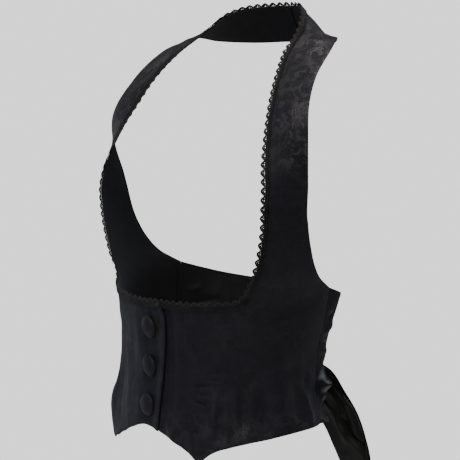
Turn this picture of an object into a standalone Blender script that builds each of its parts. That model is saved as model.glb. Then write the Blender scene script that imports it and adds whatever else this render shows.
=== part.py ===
"""Halter vest of black jacquard with a satin back, as hollow cloth walls in the form it has when worn.

Metres, +Z up. The wearer faces -Y, so +X is the wearer's left. The origin lies between the two straps, level
with the tops of the shoulders that hold the vest up.
"""

import math
from collections import namedtuple

import bmesh
import bpy
from mathutils import Matrix, Vector

COLLECTION = "halter_vest"

# Cloth
CLOTH = 0.0012  # thickness of a lined panel
LACE_THICK = 0.0010
LACE_GAP = 0.0004
RIBBON_THICK = 0.0010
GAP = 0.0003  # between pieces that meet
OVERLAP_RISE = 0.0010  # how far the upper front rides out where the fronts overlap
OVERLAP_SINK = 0.0007  # how far the lower front lies in there
OVERLAP_FADE = (12.0, 20.0)  # degrees from the centre front where the rise and sink begin and end to fade

# The figure that fills the vest: its vertical axis and how square its rings are
AXIS_Y = -0.036
SQUARENESS = 2.2

Ring = namedtuple("Ring", "z half_width front back")
FIGURE = (
    Ring(-0.500, 0.1520, 0.110, 0.1150),
    Ring(-0.460, 0.1480, 0.109, 0.1030),
    Ring(-0.420, 0.1375, 0.107, 0.0920),
    Ring(-0.380, 0.1295, 0.103, 0.0890),
    Ring(-0.355, 0.1290, 0.102, 0.0900),
    Ring(-0.330, 0.1320, 0.102, 0.0975),
    Ring(-0.310, 0.1345, 0.103, 0.1075),
    Ring(-0.290, 0.1370, 0.104, 0.1170),
    Ring(-0.270, 0.1405, 0.112, 0.1195),
    Ring(-0.250, 0.1490, 0.127, 0.1185),
    Ring(-0.225, 0.1570, 0.137, 0.1180),
    Ring(-0.200, 0.1620, 0.141, 0.1180),
    Ring(-0.175, 0.1650, 0.136, 0.1160),
    Ring(-0.155, 0.1680, 0.115, 0.1150),
    Ring(-0.140, 0.1700, 0.098, 0.1150),
)

# One front, from its centre edge round the side and up the chest: where each section starts on the neckline
# and where it ends on the hem, side seam or armhole. The neckline is the line of the lace's tips. Angles are
# degrees from the centre front towards the piece's own side. A corner is a sharp turn of the outer edge, and
# wrap is how far a section follows the figure instead of a straight line.
Section = namedtuple("Section", "neck_deg neck_z edge_deg edge_z corner wrap")
SIDE_SEAM = 107.0
HEM_AT_SEAM = -0.4195
UNDERARM_AT_SEAM = -0.2715
FRONT = (
    Section(-5.8, -0.2852, -8.0, -0.4285, False, 1),
    Section(0.0, -0.2852, 0.0, -0.4250, False, 1),
    Section(7.0, -0.2849, 9.0, -0.4302, False, 1),
    Section(13.4, -0.2843, 17.5, -0.4374, False, 1),
    Section(19.0, -0.2837, 25.0, -0.4462, False, 1),
    Section(23.5, -0.2833, 29.6, -0.4555, True, 1),
    Section(28.5, -0.2828, 33.5, -0.4484, False, 1),
    Section(34.0, -0.2822, 43.2, -0.4366, False, 1),
    Section(40.0, -0.2815, 62.4, -0.4282, False, 1),
    Section(46.0, -0.2804, 85.0, -0.4222, False, 1),
    Section(51.3, -0.2780, SIDE_SEAM, HEM_AT_SEAM, True, 1),
    Section(55.3, -0.2712, SIDE_SEAM, -0.3700, False, 1),
    Section(58.2, -0.2605, SIDE_SEAM, -0.3150, False, 1),
    Section(60.8, -0.2465, SIDE_SEAM, UNDERARM_AT_SEAM, True, 1),
    Section(62.2, -0.2345, 97.1, -0.2587, False, 1),
    Section(63.0, -0.2220, 91.5, -0.2440, False, 1),
    Section(63.5, -0.2080, 88.3, -0.2260, False, 1),
    Section(63.4, -0.1930, 86.1, -0.2080, False, 1),
    Section(62.4, -0.1760, 84.3, -0.1860, False, 0.6),
)

# The strap above the chest, over the shoulder and round the neck to the centre back: its inner line at the
# lace's tips, its outer edge, and how far its middle stands out from a straight line between them
Strap = namedtuple("Strap", "inner outer crown")
STRAP = (
    Strap((0.1445, -0.1005, -0.1550), (0.1690, -0.0573, -0.1600), 0.0030),
    Strap((0.1390, -0.0962, -0.1400), (0.1738, -0.0616, -0.1420), 0.0030),
    Strap((0.1312, -0.0878, -0.1200), (0.1776, -0.0650, -0.1210), 0.0030),
    Strap((0.1236, -0.0787, -0.1000), (0.1778, -0.0655, -0.1000), 0.0030),
    Strap((0.1154, -0.0682, -0.0800), (0.1722, -0.0604, -0.0800), 0.0028),
    Strap((0.1082, -0.0573, -0.0600), (0.1638, -0.0494, -0.0600), 0.0026),
    Strap((0.0998, -0.0432, -0.0400), (0.1562, -0.0342, -0.0400), 0.0024),
    Strap((0.0895, -0.0256, -0.0200), (0.1472, -0.0108, -0.0200), 0.0020),
    Strap((0.0803, -0.0008, 0.0000), (0.1370, 0.0045, -0.0125), 0.0010),
    Strap((0.0735, 0.0105, 0.0135), (0.1256, 0.0200, -0.0048), -0.0020),
    Strap((0.0640, 0.0205, 0.0235), (0.1080, 0.0345, -0.0085), -0.0020),
    Strap((0.0500, 0.0315, 0.0300), (0.0850, 0.0500, -0.0105), 0.0000),
    Strap((0.0340, 0.0435, 0.0330), (0.0560, 0.0640, -0.0110), 0.0010),
    Strap((0.0170, 0.0530, 0.0345), (0.0280, 0.0730, -0.0100), 0.0012),
    Strap((0.0002, 0.0570, 0.0350), (0.0002, 0.0765, -0.0095), 0.0012),
)

# How far, in degrees, the centre edge bows out past a straight line, at shares of its length down from the neck
PLACKET_BOW = ((0.0, 0.0), (0.03, 1.9), (0.10, 4.2), (0.25, 4.6), (0.5, 3.4), (0.75, 1.5), (1.0, 0.0))

FRONT_STEPS = 2  # rows of faces between two neighbouring sections
FRONT_COLUMNS = 10

# The largest soft folds of a front: middle in degrees and height, half widths, depth, and lean of the fold
Fold = namedtuple("Fold", "deg z half_deg half_z depth lean")
FRONT_FOLDS = (
    Fold(36.0, -0.385, 7.0, 0.045, 0.0022, -90.0),
    Fold(58.0, -0.395, 9.0, 0.040, -0.0020, -60.0),
    Fold(78.0, -0.370, 8.0, 0.050, 0.0022, -40.0),
    Fold(97.0, -0.378, 6.0, 0.035, -0.0024, 70.0),
    Fold(42.0, -0.415, 10.0, 0.022, 0.0060, 0.0),
)
BACK_FOLDS = (
    Fold(122.0, -0.372, 7.0, 0.030, 0.0030, 160.0),
    Fold(140.0, -0.370, 7.0, 0.040, -0.0030, 80.0),
    Fold(156.0, -0.368, 6.0, 0.040, 0.0028, -60.0),
)

# Satin back
BackEdge = namedtuple("BackEdge", "deg top hem")
BACK_GAP_EDGE = 171.5
BACK = (
    BackEdge(SIDE_SEAM, UNDERARM_AT_SEAM, HEM_AT_SEAM),
    BackEdge(118.0, -0.2782, -0.4225),
    BackEdge(133.0, -0.2850, -0.4265),
    BackEdge(152.0, -0.2895, -0.4300),
    BackEdge(BACK_GAP_EDGE, -0.2915, -0.4320),
)
BACK_COLUMNS = 10
BACK_ROWS = 9

# Lace edging
LACE_ON_CLOTH = 0.0040
LACE_PAST_EDGE = 0.0047
SCALLOP_PITCH = 0.0095
SCALLOP_DEPTH = 0.0034
COLUMNS_A_SCALLOP = 4
LEFT_LACE_START = 2.3  # the section where the lower lace comes out beside the upper front

# Buttons
BUTTON_RADIUS = 0.0125
BUTTON_DOME = 0.0080
BUTTON_SIDES = 18
BUTTON_LIFT = 0.0005
BUTTONS = (("button_top", -0.3168), ("button_middle", -0.3597), ("button_bottom", -0.4025))
ButtonStep = namedtuple("ButtonStep", "radius height")  # shares of the button's radius and dome
BUTTON_PROFILE = (
    ButtonStep(0.00, 1.00),
    ButtonStep(0.45, 0.95),
    ButtonStep(0.75, 0.77),
    ButtonStep(0.94, 0.47),
    ButtonStep(1.00, 0.24),
    ButtonStep(0.94, 0.06),
    ButtonStep(0.80, 0.00),
    ButtonStep(0.00, 0.00),
)

# Ribbon lacing
LACING_TOP = -0.302
LACING_STEP = 0.023
LACING_CROSSES = 3
RIBBON_WIDTH = 0.0105
LACING_ON_PANEL = 0.0085
LACING_COLUMNS = 8
LACING_GAP = 0.0007  # between the panels and the ribbon, and between two ribbons that cross
LACING_FIRST_DROP = 0.0118  # from the bar's middle to the first cross
LACING_CROSS_SPACE = 0.0008

# Bow
WAIST_Z = -0.374
KNOT_SIZE = (0.0150, 0.0085, 0.0130)
KNOT_Y = 0.0650
Band = namedtuple("Band", "x y z half_width gap")
BOW_LOOP = (
    Band(0.0160, 0.0658, -0.3765, 0.0090, 0.0050),
    Band(0.0265, 0.0715, -0.3845, 0.0125, 0.0095),
    Band(0.0375, 0.0775, -0.3970, 0.0160, 0.0130),
    Band(0.0490, 0.0830, -0.4160, 0.0180, 0.0150),
    Band(0.0625, 0.0875, -0.4420, 0.0190, 0.0150),
    Band(0.0745, 0.0910, -0.4700, 0.0180, 0.0120),
    Band(0.0850, 0.0940, -0.4980, 0.0165, 0.0000),
)
LOOP_SIDE_DIR = (0.94, 0.20, 0.28)
LOOP_COLUMNS = 8
RIGHT_LOOP_SHARE = 0.80  # the right loop's drop below the knot against the left one's
Tail = namedtuple("Tail", "x y z half_width")
BOW_TAIL = (
    Tail(0.0073, 0.0650, -0.3873, 0.0070),
    Tail(0.0115, 0.0656, -0.4010, 0.0110),
    Tail(0.0155, 0.0670, -0.4170, 0.0150),
    Tail(0.0195, 0.0690, -0.4330, 0.0180),
    Tail(0.0220, 0.0705, -0.4480, 0.0190),
)
TAIL_COLUMNS = 10
RIGHT_TAIL_DROP = 0.004
TAIL_WAVES = 1.5
TAIL_WAVE_DEPTH = 0.0030
TAIL_SLANT = 0.004  # how much longer the tail's outer corner hangs

JACQUARD = ((0.012, 0.012, 0.014), 0.55)
SATIN = ((0.010, 0.010, 0.013), 0.30)
LACE = ((0.008, 0.008, 0.009), 0.70)


# ---- curves through tables


def spline(knots, values, x):
    """A smooth curve through values at knots, read at x. Ends run on straight."""
    last = len(knots) - 1
    k = 0
    while k < last - 1 and x > knots[k + 1]:
        k += 1

    def slope(i):
        low = max(i - 1, 0)
        high = min(i + 1, last)
        return (values[high] - values[low]) / (knots[high] - knots[low])

    step = knots[k + 1] - knots[k]
    t = (x - knots[k]) / step
    if t < 0.0 or t > 1.0:
        end = k if t < 0.0 else k + 1
        return values[end] + slope(end) * (x - knots[end])
    start = (2 * t**3 - 3 * t * t + 1) * values[k] + (t**3 - 2 * t * t + t) * step * slope(k)
    stop = (3 * t * t - 2 * t**3) * values[k + 1] + (t**3 - t * t) * step * slope(k + 1)
    return start + stop


def column(table, name):
    return [getattr(row, name) for row in table]


def read(table, knots, name, x):
    return spline(knots, column(table, name), x)


def smoothstep(low, high, x):
    t = min(max((x - low) / (high - low), 0.0), 1.0)
    return t * t * (3 - 2 * t)


# ---- the figure


FIGURE_Z = column(FIGURE, "z")


def figure(deg, z):
    """The point of the figure's surface at an angle from the centre front and a height."""
    angle = math.radians(deg)
    sine = math.sin(angle)
    cosine = math.cos(angle)
    half_width = read(FIGURE, FIGURE_Z, "half_width", z)
    depth = read(FIGURE, FIGURE_Z, "front" if cosine > 0 else "back", z)
    power = 2 / SQUARENESS
    x = half_width * math.copysign(abs(sine) ** power, sine)
    y = AXIS_Y - depth * math.copysign(abs(cosine) ** power, cosine)
    return Vector((x, y, z))


def body_normal(deg, z):
    """The figure's outward normal there."""
    around = figure(deg + 0.5, z) - figure(deg - 0.5, z)
    up = figure(deg, z + 0.001) - figure(deg, z - 0.001)
    return around.cross(up).normalized()


def fold_height(folds, deg, z):
    """How far the soft folds move the cloth out at one place of the figure."""
    height = 0.0
    for fold in folds:
        across = (deg - fold.deg - fold.lean * (z - fold.z)) / fold.half_deg
        along = (z - fold.z) / fold.half_z
        height += fold.depth * math.exp(-across * across - along * along)
    return height


# ---- the fronts


STATIONS = len(FRONT) + len(STRAP)
LAST_SECTION = len(FRONT) - 1


def split_at_corners():
    """The runs of sections between two corners of the outer edge."""
    corners = [k for k, section in enumerate(FRONT) if section.corner]
    ends = [0] + corners + [STATIONS - 1]
    return list(zip(ends[:-1], ends[1:]))


RUNS = split_at_corners()


def station_points(inner):
    """The neckline's or the outer edge's point at each station."""
    points = []
    for section in FRONT:
        if inner:
            points.append(figure(section.neck_deg, section.neck_z))
        else:
            points.append(figure(section.edge_deg, section.edge_z))
    for strap in STRAP:
        points.append(Vector(strap.inner if inner else strap.outer))
    return points


INNER = station_points(True)
OUTER = station_points(False)
ALL_KNOTS = [float(k) for k in range(STATIONS)]


def in_run(values, s):
    """The value at station s of a curve that turns sharply at the corners."""
    for first, last in RUNS:
        if s <= last or last == STATIONS - 1:
            return spline(ALL_KNOTS[first : last + 1], values[first : last + 1], s)
    return values[-1]


def end_point(values, s, sharp):
    axes = []
    for axis in range(3):
        numbers = [value[axis] for value in values]
        axes.append(in_run(numbers, s) if sharp else spline(ALL_KNOTS, numbers, s))
    return Vector(axes)


def section_angles(s):
    """The neckline's and the edge's angle and height at a station on the body."""
    knots = ALL_KNOTS[: LAST_SECTION + 1]
    held = min(s, LAST_SECTION)
    neck = [spline(knots, column(FRONT, name), held) for name in ("neck_deg", "neck_z")]
    padded = {}
    for name in ("edge_deg", "edge_z"):
        padded[name] = column(FRONT, name) + [0.0] * len(STRAP)
    edge = []
    for name in ("edge_deg", "edge_z"):
        for first, last in RUNS:
            stop = min(last, LAST_SECTION)
            if held <= stop:
                edge.append(spline(ALL_KNOTS[first : stop + 1], padded[name][first : stop + 1], held))
                break
    return neck, edge


def placket_bow(s, t):
    """Degrees by which the centre edge bows out, fading away by the second section."""
    if s >= 1.0 or t < 0.0 or t > 1.0:
        return 0.0
    shares = [share for share, _ in PLACKET_BOW]
    bows = [bow for _, bow in PLACKET_BOW]
    return -spline(shares, bows, t) * (1.0 - s)


def wrap_at(s):
    wraps = column(FRONT, "wrap") + [0.0] * len(STRAP)
    return spline(ALL_KNOTS, wraps, s) if LAST_SECTION - 1 < s < LAST_SECTION + 1 else wraps[round(s)]


def crown_at(s):
    crowns = [STRAP[0].crown] * len(FRONT) + column(STRAP, "crown")
    return spline(ALL_KNOTS, crowns, s)


def base_point(s, t):
    """A front's outer surface at station s, a share t of the way from the neckline to the outer edge."""
    wrap = wrap_at(s)
    if s <= LAST_SECTION:
        (neck_deg, neck_z), (edge_deg, edge_z) = section_angles(s)
        inner = figure(neck_deg, neck_z)
        outer = figure(edge_deg, edge_z)
    else:
        inner = end_point(INNER, s, False)
        outer = end_point(OUTER, s, True)
    point = inner.lerp(outer, t)
    if wrap > 0.0:
        (neck_deg, neck_z), (edge_deg, edge_z) = section_angles(s)
        deg = neck_deg + (edge_deg - neck_deg) * t + placket_bow(s, t)
        z = neck_z + (edge_z - neck_z) * t
        chord = figure(neck_deg, neck_z).lerp(figure(edge_deg, edge_z), t)
        around = figure(deg, z) - chord
        point = point + around * wrap
    if wrap < 1.0:
        step = 0.05
        along = end_point(INNER, s + step, False) + end_point(OUTER, s + step, True)
        along -= end_point(INNER, s - step, False) + end_point(OUTER, s - step, True)
        normal = (outer - inner).cross(along).normalized()
        point = point + normal * (crown_at(s) * 4 * t * (1 - t) * (1 - wrap))
    return point


def surface_normal(point_at, s, t, step_s=0.02, step_t=0.01):
    """The outward normal of a front's surface."""
    across = point_at(s, t + step_t) - point_at(s, t - step_t)
    along = point_at(min(s + step_s, STATIONS - 1), t) - point_at(max(s - step_s, 0.0), t)
    return across.cross(along).normalized()


def front_out(upper, deg):
    """How far the upper or lower front is moved out near the centre front."""
    near = 1.0 - smoothstep(OVERLAP_FADE[0], OVERLAP_FADE[1], abs(deg))
    return near * (OVERLAP_RISE if upper else -OVERLAP_SINK)


def front_point(upper, s, t, out=0.0):
    """A front's outer surface with its overlap and folds, moved out along its normal."""
    point = base_point(s, t)
    move = out
    if s <= LAST_SECTION:
        (neck_deg, neck_z), (edge_deg, edge_z) = section_angles(s)
        deg = neck_deg + (edge_deg - neck_deg) * t
        z = neck_z + (edge_z - neck_z) * t
        fade = smoothstep(0.0, 0.12, t) * wrap_at(s)
        move += front_out(upper, deg) + fade * fold_height(FRONT_FOLDS, deg, z)
    return point + surface_normal(base_point, s, t) * move


# ---- meshes


def clear_scene():
    for thing in list(bpy.data.objects):
        bpy.data.objects.remove(thing, do_unlink=True)


def collection_named(name):
    made = bpy.data.collections.new(name)
    bpy.context.scene.collection.children.link(made)
    return made


def material_named(name, look):
    colour, roughness = look
    material = bpy.data.materials.new(name)
    material.use_nodes = True
    shader = material.node_tree.nodes["Principled BSDF"]
    shader.inputs["Base Color"].default_value = (*colour, 1.0)
    shader.inputs["Roughness"].default_value = roughness
    shader.inputs["Metallic"].default_value = 0.0
    return material


def add_object(name, mesh, look):
    """A mesh as a node, smooth shaded and with its own material."""
    mesh.materials.append(material_named(name, look))
    mesh.shade_smooth()
    made = bpy.data.objects.new(name, mesh)
    bpy.data.collections[COLLECTION].objects.link(made)
    return made


def sheet_mesh(name, rows, outward):
    """An open loft through rows of points, its faces turned to the outward direction that a point has."""
    mesh = bpy.data.meshes.new(name)
    build = bmesh.new()
    grid = [[build.verts.new(point) for point in row] for row in rows]
    for lower, upper in zip(grid[:-1], grid[1:]):
        for k in range(len(lower) - 1):
            build.faces.new((lower[k], lower[k + 1], upper[k + 1], upper[k]))
    build.normal_update()
    facing = sum(face.normal.dot(outward(face.calc_center_median())) for face in build.faces)
    if facing < 0:
        bmesh.ops.reverse_faces(build, faces=build.faces)
    build.to_mesh(mesh)
    build.free()
    return mesh


def from_axis(point):
    return Vector((point.x, point.y - AXIS_Y, 0.0)).normalized()


def add_wall(name, rows, thickness, look, outward=from_axis):
    """A sheet of cloth: an open loft given its thickness inwards by Solidify."""
    made = add_object(name, sheet_mesh(name, rows, outward), look)
    wall = made.modifiers.new("Cloth", "SOLIDIFY")
    wall.thickness = thickness
    wall.offset = -1.0
    wall.use_rim = True
    wall.use_quality_normals = True
    return made


def mirrored(point, side):
    return Vector((point.x * side, point.y, point.z))


# ---- the pieces


def metres_a_share(s):
    """How many metres one share of a section measures at the neckline."""
    return (base_point(s, 0.02) - base_point(s, 0.0)).length / 0.02


def front_rows(upper):
    """A front's rows of points: the cloth begins where the lace stops reaching past it."""
    rows = []
    last = STATIONS - 1
    for k in range(last * FRONT_STEPS + 1):
        s = k / FRONT_STEPS
        first = LACE_PAST_EDGE / metres_a_share(s)
        shares = [first + (1.0 - first) * c / FRONT_COLUMNS for c in range(FRONT_COLUMNS + 1)]
        rows.append([front_point(upper, s, t) for t in shares])
    return rows


def strap_outward(point):
    """Away from the figure on the chest, and up and back where the strap crosses the shoulder."""
    rise = smoothstep(-0.06, 0.0, point.z)
    flat = from_axis(point)
    return (flat * (1 - rise) + Vector((0.0, 0.4, 1.0)) * rise).normalized()


def add_front(name, side, upper):
    """One front with its halter strap."""
    rows = [[mirrored(point, side) for point in row] for row in front_rows(upper)]
    shift = Vector((side * GAP / 2, 0.0, 0.0))
    rows[-1] = [point + shift for point in rows[-1]]
    return add_wall(name, rows, CLOTH, JACQUARD, strap_outward)


def back_point(deg, share, out=0.0):
    """The satin back's outer surface, a share of the way from its top edge to its hem."""
    knots = column(BACK, "deg")
    top = spline(knots, column(BACK, "top"), deg)
    hem = spline(knots, column(BACK, "hem"), deg)
    z = top + (hem - top) * share
    point = figure(deg, z)
    normal = body_normal(deg, z)
    fade = smoothstep(SIDE_SEAM, SIDE_SEAM + 9, deg) * (1 - smoothstep(160.0, 168.0, deg))
    return point + normal * (out + fade * fold_height(BACK_FOLDS, deg, z))


def add_back(name, side):
    """One satin back panel."""
    first = SIDE_SEAM + math.degrees(GAP / 0.12) + 0.12
    rows = []
    for c in range(BACK_COLUMNS + 1):
        deg = first + (BACK_GAP_EDGE - first) * c / BACK_COLUMNS
        rows.append([mirrored(back_point(deg, r / BACK_ROWS), side) for r in range(BACK_ROWS + 1)])
    return add_wall(name, rows, CLOTH, SATIN)


class Edge:
    """A front's neckline edge, read from the front's own rows of points."""

    def __init__(self, rows):
        self.rows = rows
        self.normals = []
        for k, row in enumerate(rows):
            before = rows[max(k - 1, 0)][0]
            after = rows[min(k + 1, len(rows) - 1)][0]
            self.normals.append((row[1] - row[0]).cross(after - before).normalized())

    def at(self, s):
        """The edge's point, its direction onto the cloth and its outward normal at a station."""
        place = s * FRONT_STEPS
        k = min(int(place), len(self.rows) - 2)
        share = place - k
        here = self.rows[k]
        there = self.rows[k + 1]
        point = here[0].lerp(there[0], share)
        across = (here[1].lerp(there[1], share) - point).normalized()
        normal = self.normals[k].lerp(self.normals[k + 1], share).normalized()
        return point, across, normal

    def even_steps(self, first):
        """Stations a quarter scallop apart, in even shares of the edge's length from the first one."""
        count = (STATIONS - 1) * FRONT_STEPS * 8
        stations = [first + (STATIONS - 1 - first) * k / count for k in range(count + 1)]
        lengths = [0.0]
        for low, high in zip(stations[:-1], stations[1:]):
            lengths.append(lengths[-1] + (self.at(high)[0] - self.at(low)[0]).length)
        total = round(lengths[-1] / SCALLOP_PITCH) * COLUMNS_A_SCALLOP
        steps = []
        k = 0
        for step in range(total + 1):
            wanted = lengths[-1] * step / total
            while k < count - 1 and lengths[k + 1] < wanted:
                k += 1
            share = (wanted - lengths[k]) / (lengths[k + 1] - lengths[k])
            steps.append(stations[k] + (stations[k + 1] - stations[k]) * share)
        return steps


def scallop_dip(step):
    """How far the lace's edge dips behind the line of its tips at a quarter of a scallop."""
    phase = (step % COLUMNS_A_SCALLOP) / COLUMNS_A_SCALLOP
    return SCALLOP_DEPTH * (1 - math.sin(math.pi * phase) ** 0.8)


def add_lace(name, side, upper, first):
    """Scalloped lace that lies on a front's neckline edge and reaches past it."""
    edge = Edge(front_rows(upper))
    out = LACE_GAP + LACE_THICK
    rows = []
    for step, s in enumerate(edge.even_steps(first)):
        point, across, normal = edge.at(s)
        widths = (LACE_ON_CLOTH, 0.0, scallop_dip(step) - LACE_PAST_EDGE)
        rows.append([mirrored(point + across * width + normal * out, side) for width in widths])
    shift = Vector((side * GAP, 0.0, 0.0))
    rows[-1] = [point + shift for point in rows[-1]]
    return add_wall(name, rows, LACE_THICK, LACE, strap_outward)


def add_button(name, z):
    """A domed button covered in the front's cloth: a turned profile, its axis along the front's normal."""
    mesh = bpy.data.meshes.new(name)
    points = [(BUTTON_RADIUS * step.radius, 0.0, BUTTON_DOME * step.height) for step in BUTTON_PROFILE]
    mesh.from_pydata(points, [(k, k + 1) for k in range(len(points) - 1)], [])
    made = add_object(name, mesh, JACQUARD)
    turn = made.modifiers.new("Turn", "SCREW")
    turn.steps = BUTTON_SIDES
    turn.render_steps = BUTTON_SIDES
    turn.use_merge_vertices = True
    turn.merge_threshold = 0.00001
    normal = body_normal(0.0, z)
    seat = figure(0.0, z) + normal * (OVERLAP_RISE + BUTTON_LIFT)
    made.matrix_world = Matrix.Translation(seat) @ normal.to_track_quat("Z", "Y").to_matrix().to_4x4()
    return made


def gap_point(share, z, out):
    """A point over the laced gap: share -1 is the right panel's edge and 1 the left panel's."""
    edge = figure(BACK_GAP_EDGE, z)
    reach = LACING_ON_PANEL / edge.x
    x = edge.x * share
    deg = 180.0 - (180.0 - BACK_GAP_EDGE) * min(max(abs(share), 0.0), 1.0 + reach * 2)
    y = figure(deg, z).y
    return Vector((x, y + out, z))


def add_ribbon(name, start_z, end_z, out):
    """One flat stretch of ribbon across the gap, from the left panel to the right panel."""
    edge_x = figure(BACK_GAP_EDGE, (start_z + end_z) / 2).x
    reach = 1.0 + LACING_ON_PANEL / edge_x
    rows = []
    for c in range(LACING_COLUMNS + 1):
        share = reach - 2 * reach * c / LACING_COLUMNS
        middle = start_z + (end_z - start_z) * c / LACING_COLUMNS
        rows.append(
            [gap_point(share, middle + half * RIBBON_WIDTH / 2, out + RIBBON_THICK) for half in (1, 0, -1)]
        )
    return add_wall(name, rows, RIBBON_THICK, SATIN)


def add_lacing():
    """The bar at the top and the crosses below it."""
    add_ribbon("lacing_bar", LACING_TOP, LACING_TOP, LACING_GAP)
    for k in range(LACING_CROSSES):
        high = LACING_TOP - LACING_FIRST_DROP - LACING_STEP * k
        low = high - LACING_STEP + RIBBON_WIDTH + LACING_CROSS_SPACE
        add_ribbon("lacing_under_%d" % (k + 1), high, low, LACING_GAP)
        add_ribbon("lacing_over_%d" % (k + 1), low, high, LACING_GAP * 2 + RIBBON_THICK)


def add_knot():
    """The bow's knot, a soft lump drawn in at its middle."""
    mesh = bpy.data.meshes.new("bow_knot")
    build = bmesh.new()
    bmesh.ops.create_uvsphere(build, u_segments=16, v_segments=8, radius=1.0)
    for vert in build.verts:
        squeeze = 1.0 - 0.12 * math.exp(-(vert.co.z * 3) ** 2)
        vert.co = Vector((vert.co.x * KNOT_SIZE[0] * squeeze, vert.co.y * KNOT_SIZE[1], vert.co.z * KNOT_SIZE[2]))
        vert.co += Vector((0.0, KNOT_Y, WAIST_Z))
    build.to_mesh(mesh)
    build.free()
    return add_object("bow_knot", mesh, SATIN)


def loop_middle(knots, s, length):
    """The middle of the loop's band, its drop below the knot scaled by the loop's length."""
    x, y, z = [read(BOW_LOOP, knots, name, s) for name in ("x", "y", "z")]
    return Vector((x, y, WAIST_Z + (z - WAIST_Z) * length))


def loop_rows(length):
    """The loop's band: out from the knot on its outer layer, round its end and back on its inner layer."""
    knots = [float(k) for k in range(len(BOW_LOOP))]
    last = len(BOW_LOOP) - 1
    steps = last * 2
    side_dir = Vector(LOOP_SIDE_DIR).normalized()
    rows = []
    for k in range(2 * steps + 1):
        outer = k <= steps
        s = (k if outer else 2 * steps - k) / 2.0
        middle = loop_middle(knots, s, length)
        nearby = loop_middle(knots, s + 0.05, length)
        along = (nearby - middle).normalized()
        side = (side_dir - along * side_dir.dot(along)).normalized()
        away = side.cross(along).normalized()
        if away.y < 0:
            away = -away
        gap = max(read(BOW_LOOP, knots, "gap", s), 0.0) / 2
        half = read(BOW_LOOP, knots, "half_width", s)
        layer = 1.0 if outer else -1.0
        row = []
        for c in range(LOOP_COLUMNS + 1):
            share = 2.0 * c / LOOP_COLUMNS - 1.0
            pleat = 0.0022 * math.cos(share * math.pi * 1.5) * (1.0 - 0.5 * s / last)
            row.append(middle + side * (half * share) + away * (layer * gap + pleat * layer))
        rows.append(row)
    return rows


def add_loop(name, side, length):
    """One drooping loop of the bow, a band that is open along both its edges."""
    rows = [[mirrored(point, side) for point in row] for row in loop_rows(length)]
    middle = sum((row[LOOP_COLUMNS // 2] for row in rows), Vector()) / len(rows)
    return add_wall(name, rows, CLOTH, SATIN, lambda point: point - middle)


def add_tail(name, side, drop):
    """One hanging tail of the bow, in soft waves across its width."""
    knots = [float(k) for k in range(len(BOW_TAIL))]
    last = len(BOW_TAIL) - 1
    rows = []
    for k in range(last * 2 + 1):
        s = k / 2.0
        middle = Vector([read(BOW_TAIL, knots, axis, s) for axis in ("x", "y", "z")])
        half = read(BOW_TAIL, knots, "half_width", s)
        row = []
        for c in range(TAIL_COLUMNS + 1):
            share = 2.0 * c / TAIL_COLUMNS - 1.0
            wave = TAIL_WAVE_DEPTH * math.sin(share * math.pi * TAIL_WAVES) * smoothstep(0.0, 2.0, s)
            fall = -(TAIL_SLANT * share + drop) * (s / last) ** 3
            row.append(middle + Vector((half * share, wave, fall)))
        rows.append([mirrored(point, side) for point in row])
    return add_wall(name, rows, CLOTH, SATIN, lambda point: Vector((0.0, 1.0, 0.0)))


def main():
    clear_scene()
    collection_named(COLLECTION)
    add_front("front_left", 1, False)
    add_front("front_right", -1, True)
    add_back("back_left", 1)
    add_back("back_right", -1)
    add_lace("lace_left", 1, False, LEFT_LACE_START)
    add_lace("lace_right", -1, True, 0.0)
    for name, z in BUTTONS:
        add_button(name, z)
    add_lacing()
    add_knot()
    add_loop("bow_loop_left", 1, 1.0)
    add_loop("bow_loop_right", -1, RIGHT_LOOP_SHARE)
    add_tail("bow_tail_left", 1, 0.0)
    add_tail("bow_tail_right", -1, RIGHT_TAIL_DROP)


main()
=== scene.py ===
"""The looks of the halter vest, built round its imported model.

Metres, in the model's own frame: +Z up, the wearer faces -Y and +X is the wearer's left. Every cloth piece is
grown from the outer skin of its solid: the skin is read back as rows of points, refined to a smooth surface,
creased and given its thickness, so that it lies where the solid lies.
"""

import logging
import math
from dataclasses import dataclass, field
from enum import Enum
from typing import Callable, Sequence, Union

import bmesh
import bpy
import numpy as np
from mathutils import Matrix, Vector


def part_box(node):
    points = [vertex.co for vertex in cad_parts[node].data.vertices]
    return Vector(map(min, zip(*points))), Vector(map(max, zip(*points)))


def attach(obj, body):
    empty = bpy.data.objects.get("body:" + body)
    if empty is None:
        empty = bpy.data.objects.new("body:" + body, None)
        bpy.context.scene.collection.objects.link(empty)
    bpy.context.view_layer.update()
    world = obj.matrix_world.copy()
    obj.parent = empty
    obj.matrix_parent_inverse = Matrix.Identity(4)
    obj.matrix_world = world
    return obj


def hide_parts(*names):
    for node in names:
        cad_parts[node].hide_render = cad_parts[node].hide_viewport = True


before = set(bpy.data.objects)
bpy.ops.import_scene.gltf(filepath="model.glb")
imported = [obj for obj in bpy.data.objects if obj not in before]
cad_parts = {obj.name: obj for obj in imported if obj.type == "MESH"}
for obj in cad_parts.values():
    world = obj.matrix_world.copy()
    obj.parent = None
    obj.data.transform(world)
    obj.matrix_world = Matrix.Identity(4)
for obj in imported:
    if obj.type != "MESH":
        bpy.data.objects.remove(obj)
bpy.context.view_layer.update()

Colour = tuple[float, float, float]
Pair = tuple[float, float]
Array = np.ndarray
Spread = Union[float, Array]
Vert = bmesh.types.BMVert
Face = bmesh.types.BMFace
Finish = bpy.types.Material
Piece = bpy.types.Object
Outward = Callable[[Vector], Vector]

LOG = logging.getLogger("halter_vest")
BODY = "root"

# The vest as worn: its upright axis, and where its edges and seams lie
AXIS_Y = -0.036
ARC_A_DEGREE = 0.00232  # metres round the torso for each degree from the centre front
STRAP_START_Z = -0.1575  # above this the front is its halter strap
SIDE_SEAM = 107.0  # degrees from the centre front
SEAM_FADE = 8.0  # degrees over which creases die out before the side seam
UNDERARM_Z = -0.262
HEM_Z = -0.40  # the hem is below it
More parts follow.
